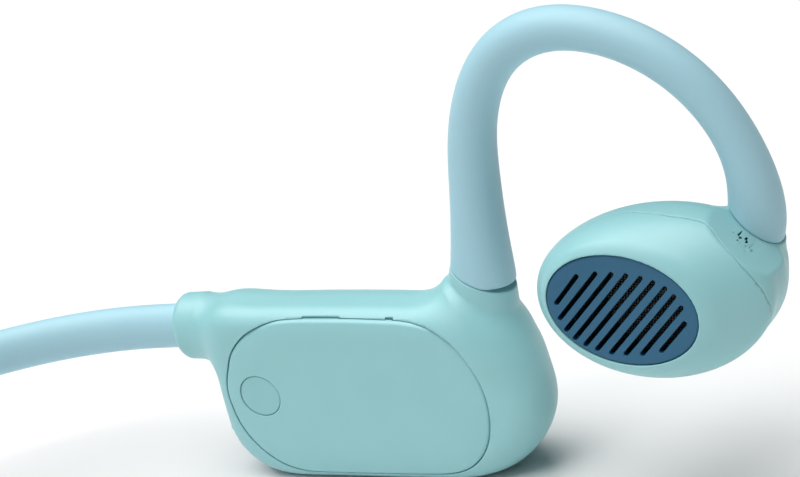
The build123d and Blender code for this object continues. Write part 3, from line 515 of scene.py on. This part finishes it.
def shell_field(left):
    def f(x, y, z):
        body = body_field(x, y, z)
        out = body
        # recess for the cover
        recess = np.maximum(cover_outline(y, z, 0.06), x - LEDGE_X)
        out = rmax(out, -recess, 0.10)
        # hollow and the opening inside the ledge
        hollow = np.maximum(body + WALL, CAV_X - x)
        # solid root of the neck and of the collar
        hollow = np.maximum(hollow, hook_frame(x, y, z)[2] + 4.2)
        hollow = np.maximum(hollow, y - 7.6)
        # boss of the cover screw
        boss = np.hypot(y - PLUG_Y, z - PLUG_Z)
        hollow = rmax(hollow, 1.8 - boss, 0.25)
        if left:
            back = np.maximum(np.maximum(np.hypot(y - FLAP_Y, z - FLAP_Z) - 3.95, 2.5 - np.hypot(y - FLAP_Y, z - FLAP_Z)),
                              np.maximum(FLAP_X0 + 0.3 - x, x - FLAP_X1 - 0.3))
            back = np.maximum(back, np.maximum(FLAP_Y - 0.8 - y, z - FLAP_Z - 0.6))
            hollow = np.maximum(hollow, -back)
        window = np.maximum(cover_outline(y, z, -LEDGE), np.maximum(x - CAV_X - 0.5, LEDGE_X - 1.0 - x))
        window = np.maximum(window, 1.8 - boss)
        out = np.maximum(out, -np.minimum(hollow, window))
        # screw hole
        out = np.maximum(out, -np.maximum(boss - 0.83, x - 65.0))
        # socket and passage of the neckband, passage of the hook
        bore = np.maximum(ell(x - SIDE_X, z - BAND_Z, BAND_W / 2 + 0.07, BAND_H / 2 + 0.07), BAND_START_Y - y)
        out = rmax(out, -bore, 0.3)
        out = np.maximum(out, -np.maximum(box2(x - SIDE_X, z - BAND_Z, 0.95, 1.7, 0.5), np.maximum(3.5 - y, y - 9.0)))
        w, p, t = hook_frame(x, y, z)
        out = np.maximum(out, -np.maximum(ell(w, p, 1.7, 0.9), -9.0 - t))
        if left:
            pocket = np.maximum(sector(y, z, 3.62), np.maximum(FLAP_X0 - 0.13 - x, x - FLAP_X1 - 0.13))
            out = rmax(out, -pocket, 0.12)
            groove = np.maximum(np.hypot(y - BEAD_Y, z - BEAD_Z) - 0.63, np.abs(x - 61.0) - 2.0)
            slot = np.maximum(box2(y - 9.2, z - 5.25, 0.85, 0.6, 0.1), np.abs(x - 61.0) - 2.0)
            out = np.maximum(out, -np.minimum(groove, slot))
            g = ((y - FLAP_Y) - (z - FLAP_Z)) / math.sqrt(2)
            q = ((y - FLAP_Y) + (z - FLAP_Z)) / math.sqrt(2)
            out = np.maximum(out, -np.maximum(box2(x - 62.15, q, 3.35, 1.25, 0.9), 1.0 - g))
            out = rmax(out, -np.maximum(ell(y - BUTTON_Y, z - BUTTON_Z, 5.12, 3.32), 66.0 - x), 0.2)
            out = rmax(out, -np.maximum(np.hypot(y + 1.2, z - BUTTON_Z) - 0.64, 66.0 - x), 0.1)
        else:
            for yc in VOL_Y:
                out = rmax(out, -np.maximum(ell(y - yc, z - BUTTON_Z, 3.42, 2.82), 66.0 - x), 0.2)
            out = rmax(out, -np.maximum(np.hypot(x - SIDE_X, y + 16.0) - 0.42, z - 2.0), 0.15)
        return out
    return f


SHELL_LO, SHELL_HI = (56.6, -30.6, -0.8), (69.4, 15.2, 24.6)
H_SHELL = 0.24
P, Q, LN = contour(shell_field(True), SHELL_LO, SHELL_HI, H_SHELL)
make("left_housing", P, Q, LN, M["mint_shell"], "left_side", ["left_housing_shell"])
P, Q, LN = contour(shell_field(False), SHELL_LO, SHELL_HI, H_SHELL)
make("right_housing", P, Q, LN, M["mint_shell"], "right_side", ["right_housing_shell"], mirror=True)


# cover: a shallow cushion with a soft shoulder
def cover_face(y, z):
    d = -cover_outline(y, z)
    lip = np.clip(1 - d / 2.6, 0, 1)
    return COVER_X + (0.18 + 0.26 * step01((z - 15.5) / 4.0)) * lip ** 2.2


def cover_field(x, y, z):
    d = cover_outline(y, z)
    body = rmax(d, cover_face(y, z) - x, 0.34)
    body = np.maximum(body, x - (COVER_X + COVER_T))
    boss = np.maximum(np.hypot(y - PLUG_Y, z - PLUG_Z) - 2.7, x - 59.75)
    body = np.minimum(body, np.maximum(boss, COVER_X + 0.4 - x))
    r = np.hypot(y - PLUG_Y, z - PLUG_Z)
    body = rmax(body, -np.maximum(r - PLUG_R - 0.05, x - 58.05), 0.09)
    body = np.maximum(body, -np.maximum(r - 1.55, x - 59.05))
    return np.maximum(body, 0.9 - r)


P, Q, LN = contour(cover_field, (56.6, -24.2, 0.6), (60.4, 8.0, 20.3), 0.17)
for s, mir in (("left", False), ("right", True)):
    make(s + "_cover", P, Q, LN, M["mint_shell"], s + "_side", [s + "_housing_cover"], mirror=mir)


def plug_field(x, y, z):
    r = np.hypot(y - PLUG_Y, z - PLUG_Z)
    face = cover_face(y, z) + 0.05 + 0.02 * np.minimum(r / PLUG_R, 1.2) ** 2
    return np.maximum(rmax(r - PLUG_R, face - x, 0.16), x - 58.0)


P, Q, LN = contour(plug_field, (56.8, 0.4, 7.9), (58.4, 6.0, 13.5), 0.09)
for s, mir in (("left", False), ("right", True)):
    make(s + "_plug", P, Q, LN, M["mint_plug"], s + "_side", [s + "_screw_plug"], mirror=mir)


# charge flap: the housing's own skin, a little proud, on a bead hinge
def flap_field(x, y, z):
    skin = body_field(x, y, z) - 0.2
    r = np.hypot(y - FLAP_Y, z - FLAP_Z)
    edge = np.maximum(FLAP_Y + 0.12 - y, z - FLAP_Z + 0.12)
    edge = rmax(edge, np.maximum(FLAP_X0 - x, x - FLAP_X1), 1.0)
    part = rmax(np.maximum(skin, 3.74 - r), edge, 0.3)
    tab = np.maximum(box2(y - 8.83, z - 5.15, 0.36, 0.6, 0.1), np.abs(x - 61.0) - 1.85)
    bead = np.maximum(np.hypot(y - BEAD_Y, z - BEAD_Z) - 0.48, np.abs(x - 61.0) - 1.85)
    # fingernail lip at the free edge
    nail = np.maximum(np.hypot(y - 4.6, z + 0.15) - 0.28, np.abs(x - 61.9) - 1.6)
    part = rmax(part, -nail, 0.1)
    return np.minimum(part, smin(tab, bead, 0.2))


P, Q, LN = contour(flap_field, (58.0, 3.8, -0.9), (66.0, 10.4, 6.8), 0.11)
make("charge_port_flap", P, Q, LN, M["flap_rubber"], "port_flap", ["charge_flap"])


# buttons: caps that follow the dome, slightly dished
def button_field(yc, a, b):
    def f(x, y, z):
        e = ell(y - yc, z - BUTTON_Z, a, b)
        dish = 0.16 * np.exp(-((y - yc) / (0.62 * a)) ** 2 - ((z - BUTTON_Z) / (0.62 * b)) ** 2)
        cap = rmax(e, x - (OUT_X + 0.36 - dish - 0.35 * (((y + 10.0) / 19.0) ** 2 + ((z - 9.8) / 10.0) ** 2)), 0.34)
        cap = np.maximum(cap, 66.5 - x)
        flange = np.maximum(ell(y - yc, z - BUTTON_Z, a + 0.55, b + 0.55), np.maximum(66.12 - x, x - 66.78))
        stem = np.maximum(np.hypot(y - yc, z - BUTTON_Z) - 1.1, np.maximum(65.57 - x, x - 66.4))
        return np.minimum(np.minimum(cap, flange), stem)
    return f


P, Q, LN = contour(button_field(BUTTON_Y, 5.0, 3.2), (65.2, -15.0, 5.0), (69.4, -3.0, 13.4), 0.12)
make("play_key_cap", P, Q, LN, M["mint_shell"], "play_key", ["play_button"])
for nm, yc in (("volume_up", VOL_Y[0]), ("volume_down", VOL_Y[1])):
    P, Q, LN = contour(button_field(yc, 3.3, 2.7), (65.2, yc - 4.3, 5.4), (69.4, yc + 4.3, 13.0), 0.12)
    make(nm + "_key_cap", P, Q, LN, M["mint_shell"], nm + "_key", [nm + "_button"], mirror=True)


# ---------------------------------------------------------------- swept pieces
def smooth_path(start, heading, runs, step, blur, pin=True):
    """Plane curve from straight runs and arcs, with its curvature eased. runs: (length, radius or None, turn)."""
    total = sum(r[0] for r in runs)
    n = int(math.ceil(total / step)) + 1
    s = np.linspace(0, total, n)
    knots, angles = [0.0], [heading]
    for length, turn in runs:
        knots.append(knots[-1] + length)
        angles.append(angles[-1] + turn)
    raw = np.interp(s, knots, angles)
    ds = s[1] - s[0]
    r = int(3 * blur / ds)
    g = np.exp(-0.5 * (np.arange(-r, r + 1) * ds / blur) ** 2)
    g /= g.sum()
    pad = np.concatenate([np.full(r, raw[0]), raw, np.full(r, raw[-1])])
    h = np.convolve(pad, g, "valid")

    def walk(hh):
        mid = (hh[1:] + hh[:-1]) / 2
        p = np.zeros((n, 2))
        p[1:, 0] = np.cumsum(np.cos(mid)) * ds
        p[1:, 1] = np.cumsum(np.sin(mid)) * ds
        return p + np.array(start)
    want, got = walk(raw), walk(h)
    if pin:
        got += (want[-1] - got[-1]) * (step01(s / total))[:, None]
    return s, got, np.unwrap(np.arctan2(np.gradient(got[:, 1]), np.gradient(got[:, 0])))


# hook centre line in its own plane: u to the rear, v up
hs = [(HOOK_LEG, 0.0)] + [(r * math.radians(a), math.radians(a)) for r, a in HOOK_ARCS] + [(9.0, 0.0)]
HS, HUV, HA = smooth_path((NECK_U, NECK_Z), math.pi / 2 + LEAN - math.radians(0.25), hs, 0.05, 2.2, pin=False)
R_TAB = np.array([(4.05, 3.02), (8.7, 2.70), (12.0, 2.59), (15.0, 2.47), (18.4, 2.36), (21.3, 2.32), (24.2, 2.29), (27.1, 2.29),
                  (29.9, 2.26), (32.7, 2.21), (35.5, 2.15), (38.4, 2.11), (41.2, 2.10), (44.0, 2.09), (46.8, 2.08), (49.7, 2.08),
                  (52.6, 2.09), (55.6, 2.18), (58.6, 2.44), (61.0, 2.78), (63.0, 2.86), (65.0, 2.5), (67.0, 1.9), (70.0, 1.4)])
RX_TAB = np.array([(0.0, 2.95), (2.0, 2.84), (4.07, 2.74), (7.85, 2.60), (11.5, 2.52), (15.0, 2.47)])
RY_TAB = np.array([(0.0, 3.45), (2.0, 3.24), (4.07, 3.04), (7.85, 2.75), (11.5, 2.60), (15.0, 2.47)])


def eased(tab, s, blur=1.6):
    fine = np.arange(-6, 80, 0.1)
    v = np.interp(fine, tab[:, 0], tab[:, 1])
    lead = fine < tab[0, 0]
    v[lead] = tab[0, 1] + (fine[lead] - tab[0, 0]) * (tab[1, 1] - tab[0, 1]) / (tab[1, 0] - tab[0, 0])
    g = np.exp(-0.5 * (np.arange(-48, 49) * 0.1 / blur) ** 2)
    g /= g.sum()
    v = np.convolve(np.pad(v, 48, "edge"), g, "valid")
    return np.interp(s, fine, v)


R_TAIL = R_TAB[R_TAB[:, 0] > 14.0]
RX_FULL, RY_FULL = np.vstack([RX_TAB, R_TAIL[1:]]), np.vstack([RY_TAB, R_TAIL[1:]])


def hook_radii(s):
    ax, ay = eased(RX_FULL, s), eased(RY_FULL, s)
    w = np.exp(-s / 1.5)
    return ax * (1 - w) + 2.95 * w, ay * (1 - w) + 3.45 * w


def hook_point(s, th, inset=0.0):
    """Point on the sleeve at length s and angle th (arrays of one shape)."""
    u, v = np.interp(s, HS, HUV[:, 0]), np.interp(s, HS, HUV[:, 1])
    a = np.interp(s, HS, HA)
    rx, ry = hook_radii(s)
    rx, ry = rx - inset, ry - inset
    c = HOOK_O + u[..., None] * TOE + v[..., None] * np.array([0, 0, 1.0])
    # across the plane, and in the plane at right angles to the path
    nrm = np.sin(a)[..., None] * TOE - np.cos(a)[..., None] * np.array([0, 0, 1.0])
    return c + (rx * np.cos(th))[..., None] * SIDE + (ry * np.sin(th))[..., None] * nrm


CUT_O = HOOK_O + TOE * -30.2 + np.array([0, 0, 27.75])
CUT_N = TOE * -0.70 + np.array([0, 0, 0.71]); CUT_N /= np.linalg.norm(CUT_N)
AR = 72
TH = np.arange(AR) * 2 * math.pi / AR
scan = np.linspace(54.0, 67.5, 271)
PT = hook_point(scan[:, None] + 0 * TH[None], TH[None] + 0 * scan[:, None])
dcut = (PT - CUT_O) @ CUT_N - 0.05
first = (dcut < 0).argmax(0)
END = np.array([np.interp(0.0, [-dcut[k - 1, j], -dcut[k, j]], [scan[k - 1], scan[k]]) for j, k in enumerate(first)])
S0 = 48.0
rings = []
E = 0.15
BEG = RING_LIFT + 0.06 + RING_TILT * 3.43 * np.sin(TH)
for s, ins in ((0.0, 1.2), (0.0, E), (E * 0.3, E * 0.3), (E, 0.0), (2.2 * E, 0.0)):
    rings.append((BEG + s, np.full(AR, ins)))
for t in np.linspace(0, 1, 151)[1:]:
    rings.append((BEG + 3 * E + (S0 - BEG - 3 * E) * t, np.zeros(AR)))
for t in np.linspace(0, 1, 44)[1:-1]:
    rings.append((S0 + (END - 0.35 - S0) * t, np.zeros(AR)))
for back, ins in ((0.32, 0.0), (E, 0.0), (E * 0.3, E * 0.3), (0.0, E), (0.0, 0.9)):
    rings.append((END - back, np.full(AR, ins)))
P = np.stack([hook_point(s, TH, i) for s, i in rings])
# the last ring lies on the cut plane
P[-1] -= (((P[-1] - CUT_O) @ CUT_N - 0.05)[:, None]) * CUT_N
P[-2] -= (((P[-2] - CUT_O) @ CUT_N - 0.05)[:, None]) * CUT_N
nr = len(P)
Q = grid_faces(nr, AR)
V = P.reshape(-1, 3)


def capped(V, Q, nr, around):
    """Closes the two ends of a tube with strips across."""
    caps = []
    for base, flip in ((0, True), ((nr - 1) * around, False)):
        for k in range(around // 2 - 1):
            q = [base + k, base + k + 1, base + around - 2 - k, base + around - 1 - k]
            caps.append(q[::-1] if flip else q)
    return np.vstack([Q, np.array(caps)])


Qc = capped(V, Q, nr, AR)


def outward(V, Q):
    c = V[Q[:, 0]]
    n = np.cross(V[Q[:, 1]] - c, V[Q[:, 2]] - c) + np.cross(V[Q[:, 2]] - c, V[Q[:, 3]] - c)
    vol = (c * n).sum() / 6
    return Q if vol > 0 else Q[:, ::-1]


Qc = outward(V, Qc)
for s, mir in (("left", False), ("right", True)):
    make(s + "_ear_hook", V, Qc, None, M["pale_silicone"], s + "_side", [s + "_hook_sleeve"], mirror=mir)

# neckband: straight lead, five arcs, straight lead
runs = [(BAND_ARC_Y - BAND_START_Y + 0.0, 0.0)]
for r, a in BAND_ARCS:
    runs.append((r * math.radians(a), math.radians(a)))
runs.append((BAND_ARC_Y - BAND_START_Y + 0.0, 0.0))


def band_tube(name, a, b, dz, lead, node, mat, around, step=0.55):
    rr = [(runs[0][0] + lead, 0.0)] + runs[1:-1] + [(runs[-1][0] + lead, 0.0)]
    s, p, h = smooth_path((SIDE_X, BAND_START_Y - lead), math.pi / 2, rr, step, 3.0)
    p[:, 0] -= (p[-1, 0] + p[0, 0]) / 2 * step01(s / s[-1])
    th = np.arange(around) * 2 * math.pi / around
    side = np.stack([np.sin(h), -np.cos(h)], 1)
    rings = []
    for k in range(len(s)):
        ins = 0.0
        rings.append(np.stack([p[k, 0] + side[k, 0] * (a - ins) * np.cos(th),
                               p[k, 1] + side[k, 1] * (a - ins) * np.cos(th),
                               BAND_Z + dz + (b - ins) * np.sin(th)], 1))
    V = np.concatenate(rings)
    Q = capped(V, grid_faces(len(s), around), len(s), around)
    ob = make(name, V, outward(V, Q), None, mat, None)
    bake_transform(ob)
    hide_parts(node)
    return ob


band_tube("neckband", BAND_W / 2, BAND_H / 2, 0.0, 0.0, "neckband_sleeve", M["pale_silicone"], 64)
band_tube("neckband_spring", 0.5, 0.5, -0.75, 5.0, "neckband_wire", M["steel"], 16, 0.8)
band_tube("neckband_lead", 0.4, 0.4, 0.80, 4.0, "neckband_cable", M["cable_jacket"], 14, 0.8)

# ---------------------------------------------------------------- pod
EGG_S = (-8.0, -6.0, -4.0, -2.0, 0.0, 2.3, 3.6, 5.0, 6.5, 7.4)
EGG = {"cx": (0.5, 0.4, 0.1, -0.40, -0.80, -0.38, -0.72, -1.1, -1.5, -1.8),
       "cy": (-0.6, -0.48, -0.32, -0.16, 0.0, 0.15, 0.20, 0.20, 0.12, 0.05),
       "a": (12.7, 12.7, 12.7, 12.7, 12.65, 12.1, 11.05, 9.7, 8.38, 7.5),
       "b": (8.5, 8.5, 8.5, 8.5, 8.55, 8.38, 7.9, 7.15, 6.15, 5.3),
       "tilt": (20.0, 20.0, 20.0, 20.0, 19.0, 12.0, 8.0, 4.0, 0.0, 0.0)}
_fine = np.arange(-12, 12.01, 0.05)
_g = np.exp(-0.5 * (np.arange(-60, 61) * 0.05 / 0.9) ** 2); _g /= _g.sum()
for _k in EGG:
    _v = np.interp(_fine, EGG_S, EGG[_k])
    _sm = np.convolve(np.pad(_v, 60, "edge"), _g, "valid")
    EGG[_k] = _sm + np.convolve(np.pad(_v - _sm, 60, "edge"), _g, "valid")


def egg_field(x, y, s):
    """Pod without its neck, in the pod's own axes."""
    cx, cy, a, b, tilt = (np.interp(s, _fine, EGG[k]) for k in ("cx", "cy", "a", "b", "tilt"))
    sb = np.clip(-s, 0, None)
    co, si = np.cos(np.radians(tilt)), np.sin(np.radians(tilt))
    rho = np.sqrt((((x - cx) * co + (y - cy) * si) / a) ** 2 + (((y - cy) * co - (x - cx) * si) / b) ** 2) + 1e-6
    rad = np.hypot(x - cx, y - cy)
    G = (rho ** 2.1 + (sb / 7.5) ** 2.1) ** (1 / 2.1)
    scale = np.where(rho > 0.05, rad / rho, 8.0)
    scale = np.where(s < 0, np.minimum(scale, 12.85) * (1 - 0.35 * np.minimum(sb / 7.5, 1) ** 2), scale)
    return (G - 1) * scale * 0.92


A5 = np.array([np.interp(61.0, HS, HUV[:, k]) for k in (0, 1)])
A5W = HOOK_O + A5[0] * TOE + np.array([0, 0, A5[1]])
_ha = np.interp(60.8, HS, HA)
DOWN = math.cos(_ha) * TOE + math.sin(_ha) * np.array([0, 0, 1.0])
TO_POD = np.stack([POD_X, POD_Y, POD_N])          # rows: pod axes in the row frame
A5L = TO_POD @ (A5W - POD_C)
DNL = TO_POD @ DOWN
CUTL, CUTNL = TO_POD @ (CUT_O - POD_C), TO_POD @ CUT_N


def hull_field(x, y, s):
    egg = rmax(egg_field(x, y, s), s - 6.5, 0.9)
    t = (x - A5L[0]) * DNL[0] + (y - A5L[1]) * DNL[1] + (s - A5L[2]) * DNL[2]
    px, py, ps = x - A5L[0] - t * DNL[0], y - A5L[1] - t * DNL[1], s - A5L[2] - t * DNL[2]
    rr = eased(R_TAB, np.clip(t, -6, 9) + 61.0)
    cut = (x - CUTL[0]) * CUTNL[0] + (y - CUTL[1]) * CUTNL[1] + (s - CUTL[2]) * CUTNL[2]
    rr = rr + 0.35 * step01((-cut - 0.1) / 1.8)
    rs = np.where(ps < 0, np.minimum(rr, 2.95), rr)
    rho = np.sqrt((px * px + py * py) / rr ** 2 + (ps / rs) ** 2) + 1e-9
    neck = np.sqrt(px * px + py * py + ps * ps) * (1 - 1 / rho)
    neck = rmax(neck, t - 6.5, 1.5)
    k = 0.3 + 2.3 * step01((-cut - 0.05) / 2.2)
    skin = smin(egg, neck, k)
    return rmax(skin, cut, 0.14), egg, t, (px, py, ps), skin


SEAM_PHI = (-180, -90, -30, -2.5, 4.6, 10.3, 20.2, 29.2, 39.9, 49.4, 55.8, 61.3, 79.8, 101.6, 119.7, 140, 180)
SEAM_H = (1.9, 1.8, 1.5, 1.65, 2.1, 2.55, 3.0, 3.25, 3.15, 2.6, 2.1, 1.95, 2.3, 2.05, 1.6, 1.5, 1.9)


def seam_cut(x, y, s):
    phi = np.degrees(np.arctan2(y - 0.15, x + 0.1))
    return s - np.interp(phi, SEAM_PHI, SEAM_H)


def rear_field(x, y, s):
    hull, egg, t, p, skin = hull_field(x, y, s)
    out = rmax(hull, seam_cut(x, y, s) + 0.03, 0.09)
    inner = np.maximum(egg + 1.2, -6.0 - s)
    out = np.maximum(out, -inner)
    hole = np.maximum(np.sqrt(p[0] ** 2 + p[1] ** 2 + p[2] ** 2) - 1.3, np.maximum(t - 9.0, skin + 0.9))
    return np.maximum(out, -hole)


def front_field(x, y, s):
    hull, egg, t, p, skin = hull_field(x, y, s)
    out = rmax(hull, 0.03 - seam_cut(x, y, s), 0.09)
    inner = np.maximum(egg + 1.2, s - 5.2)
    out = np.maximum(out, -inner)
    gx, gy = x - GRILLE_C[0], y - GRILLE_C[1]
    seat = np.maximum(ell(gx, gy, GRILLE_AB[0] + 0.07, GRILLE_AB[1] + 0.07), 5.38 - s)
    through = ell(gx, gy, GRILLE_AB[0] - 0.26, GRILLE_AB[1] - 0.26)
    out = rmax(out, -seat, 0.12)
    return np.maximum(out, -through)


def to_world(P):
    return POD_C + P @ TO_POD


def to_world_n(N):
    return N @ TO_POD


P, Q, LN = contour(rear_field, (-14.8, -10.4, -8.2), (15.4, 13.4, 4.0), 0.2)
for s, mir in (("left", False), ("right", True)):
    make(s + "_pod_back", to_world(P), Q, to_world_n(LN), M["mint_shell"], s + "_side", [s + "_pod_rear_shell"], mirror=mir)
P, Q, LN = contour(front_field, (-14.8, -10.4, 0.9), (14.8, 11.4, 7.1), 0.17)
for s, mir in (("left", False), ("right", True)):
    make(s + "_pod_front", to_world(P), Q, to_world_n(LN), M["mint_shell"], s + "_side", [s + "_pod_front_shell"], mirror=mir)

SLOTS = (((-6.73, -.76), (-4.70, 2.36)), ((-6.35, -2.27), (-2.78, 2.97)), ((-5.68, -3.34), (-1.15, 3.23)),
         ((-4.76, -4.04), (.34, 3.36)), ((-3.66, -4.48), (1.79, 3.36)), ((-2.45, -4.72), (3.06, 3.16)),
         ((-.99, -4.80), (4.25, 2.77)), ((.49, -4.62), (5.16, 2.13)), ((2.15, -4.28), (5.90, 1.14)),
         ((4.06, -3.58), (6.27, -.37)))


def grille_field(x, y, s):
    gx, gy = x - GRILLE_C[0], y - GRILLE_C[1]
    edge = ell(gx, gy, GRILLE_AB[0], GRILLE_AB[1])
    rho2 = (gx / GRILLE_AB[0]) ** 2 + (gy / GRILLE_AB[1]) ** 2
    top = 6.30 - 0.10 * np.maximum(1 - rho2, 0)
    out = rmax(rmax(edge, s - top, 0.22), 5.42 - s, 0.05)
    hole = None
    for p, q in SLOTS:
        L = math.hypot(q[0] - p[0], q[1] - p[1])
        p = (p[0] + 0.14 - 0.33 * (q[0] - p[0]) / L, p[1] + 0.38 - 0.33 * (q[1] - p[1]) / L)
        q = (q[0] + 0.14, q[1] + 0.38)
        dx, dy = q[0] - p[0], q[1] - p[1]
        L = math.hypot(dx, dy)
        ux, uy = dx / L, dy / L
        t = np.clip((gx - p[0]) * ux + (gy - p[1]) * uy, 0.16, L - 0.16)
        d = np.hypot(gx - p[0] - t * ux, gy - p[1] - t * uy) - 0.235
        hole = d if hole is None else np.minimum(hole, d)
    return rmax(out, -hole, 0.08)


P, Q, LN = contour(grille_field, (-9.6, -5.4, 5.1), (6.5, 6.3, 6.7), 0.105)
for s, mir in (("left", False), ("right", True)):
    make(s + "_speaker_grille", to_world(P), Q, to_world_n(LN), M["blue_grille"], s + "_side", [s + "_grille"], mirror=mir)

# woven mesh behind the slots
PITCH, WR, AMP, MESH_S = 0.27, 0.052, 0.048, 5.22
VV, QQ, off = [], [], 0
for way in (0, 1):
    a, b = (GRILLE_AB[0] - 0.32, GRILLE_AB[1] - 0.32) if way == 0 else (GRILLE_AB[1] - 0.32, GRILLE_AB[0] - 0.32)
    nw = int(b / PITCH)
    for k in range(-nw, nw + 1):
        c = k * PITCH
        L = a * math.sqrt(max(1 - (c / b) ** 2, 0)) - 0.02
        if L < 0.5:
            continue
        n = max(int(2 * L / (PITCH * 0.5)), 4)
        t = np.linspace(-L, L, n)
        zz = AMP * np.cos(math.pi * (t / PITCH) + math.pi * (k + way))
        ang = (np.arange(4) + 0.5) * math.pi / 2
        A = t[:, None] + 0 * ang
        B = c + WR * np.cos(ang)[None] + 0 * t[:, None]
        Cc = MESH_S + zz[:, None] + WR * np.sin(ang)[None]
        pts = np.stack([A, B, Cc] if way == 0 else [B, A, Cc], -1).reshape(-1, 3)
        f = np.vstack([grid_faces(n, 4), [[3, 2, 1, 0], [(n - 1) * 4 + q for q in range(4)]]])
        QQ.append((f if way == 0 else f[:, ::-1]) + off)
        VV.append(pts)
        off += len(pts)
V = np.concatenate(VV) + [GRILLE_C[0], GRILLE_C[1], 0]
Q = outward(V, np.concatenate(QQ))
for s, mir in (("left", False), ("right", True)):
    make(s + "_acoustic_mesh", to_world(V), Q, None, M["dark_mesh"], s + "_side", [s + "_grille_mesh"], mirror=mir)

# ---------------------------------------------------------------- carried-over nodes keep their shape
for nd, ob in NODES.items():
    slot = SLOT_OF.get(nd)
    mt = M.get(slot)
    if mt is None:
        continue
    if not ob.data.materials:
        ob.data.materials.append(mt)
    for i in range(len(ob.material_slots)):
        ob.material_slots[i].material = mt

# ---------------------------------------------------------------- floor and light
fl = bpy.data.meshes.new("floor")
fl.from_pydata([(-4, -4, 0), (4, -4, 0), (4, 4, 0), (-4, 4, 0)], [], [(0, 1, 2, 3)])
floor = bpy.data.objects.new("floor", fl)
scene.collection.objects.link(floor)
floor.location.z = -0.00002
fm = bpy.data.materials.new("pale_floor")
fm.use_nodes = True
nt = fm.node_tree
bs = nt.nodes["Principled BSDF"]
nz = noise(nt, 3.0, 2.0, 0.5)
nt.links.new(mix_colour(nt, (0.80, 0.80, 0.80), (0.82, 0.82, 0.82), nz), bs.inputs["Base Color"])
bs.inputs["Roughness"].default_value = 0.9
bs.inputs["Specular IOR Level"].default_value = 0.1
fl.materials.append(fm)

world = bpy.data.worlds.new("studio")
world.use_nodes = True
world.node_tree.nodes["Background"].inputs["Color"].default_value = (1, 1, 1, 1)
world.node_tree.nodes["Background"].inputs["Strength"].default_value = 0.05
scene.world = world


def area(name, pos, look, size, power, colour=(1, 1, 1)):
    ld = bpy.data.lights.new(name, "AREA")
    ld.shape = "RECTANGLE"
    ld.size, ld.size_y = size
    ld.energy = power
    ld.color = colour
    ob = bpy.data.objects.new(name, ld)
    scene.collection.objects.link(ob)
    ob.location = pos
    d = Vector(look) - Vector(pos)
    ob.rotation_euler = d.to_track_quat("-Z", "Y").to_euler()
    return ob


area("key", (-0.08, 0.20, 1.2), (0.03, -0.02, 0), (1.5, 1.5), 28.0)
area("fill", (-1.1, 0.45, 0.7), (0.05, -0.02, 0.02), (0.9, 0.9), 2.0)
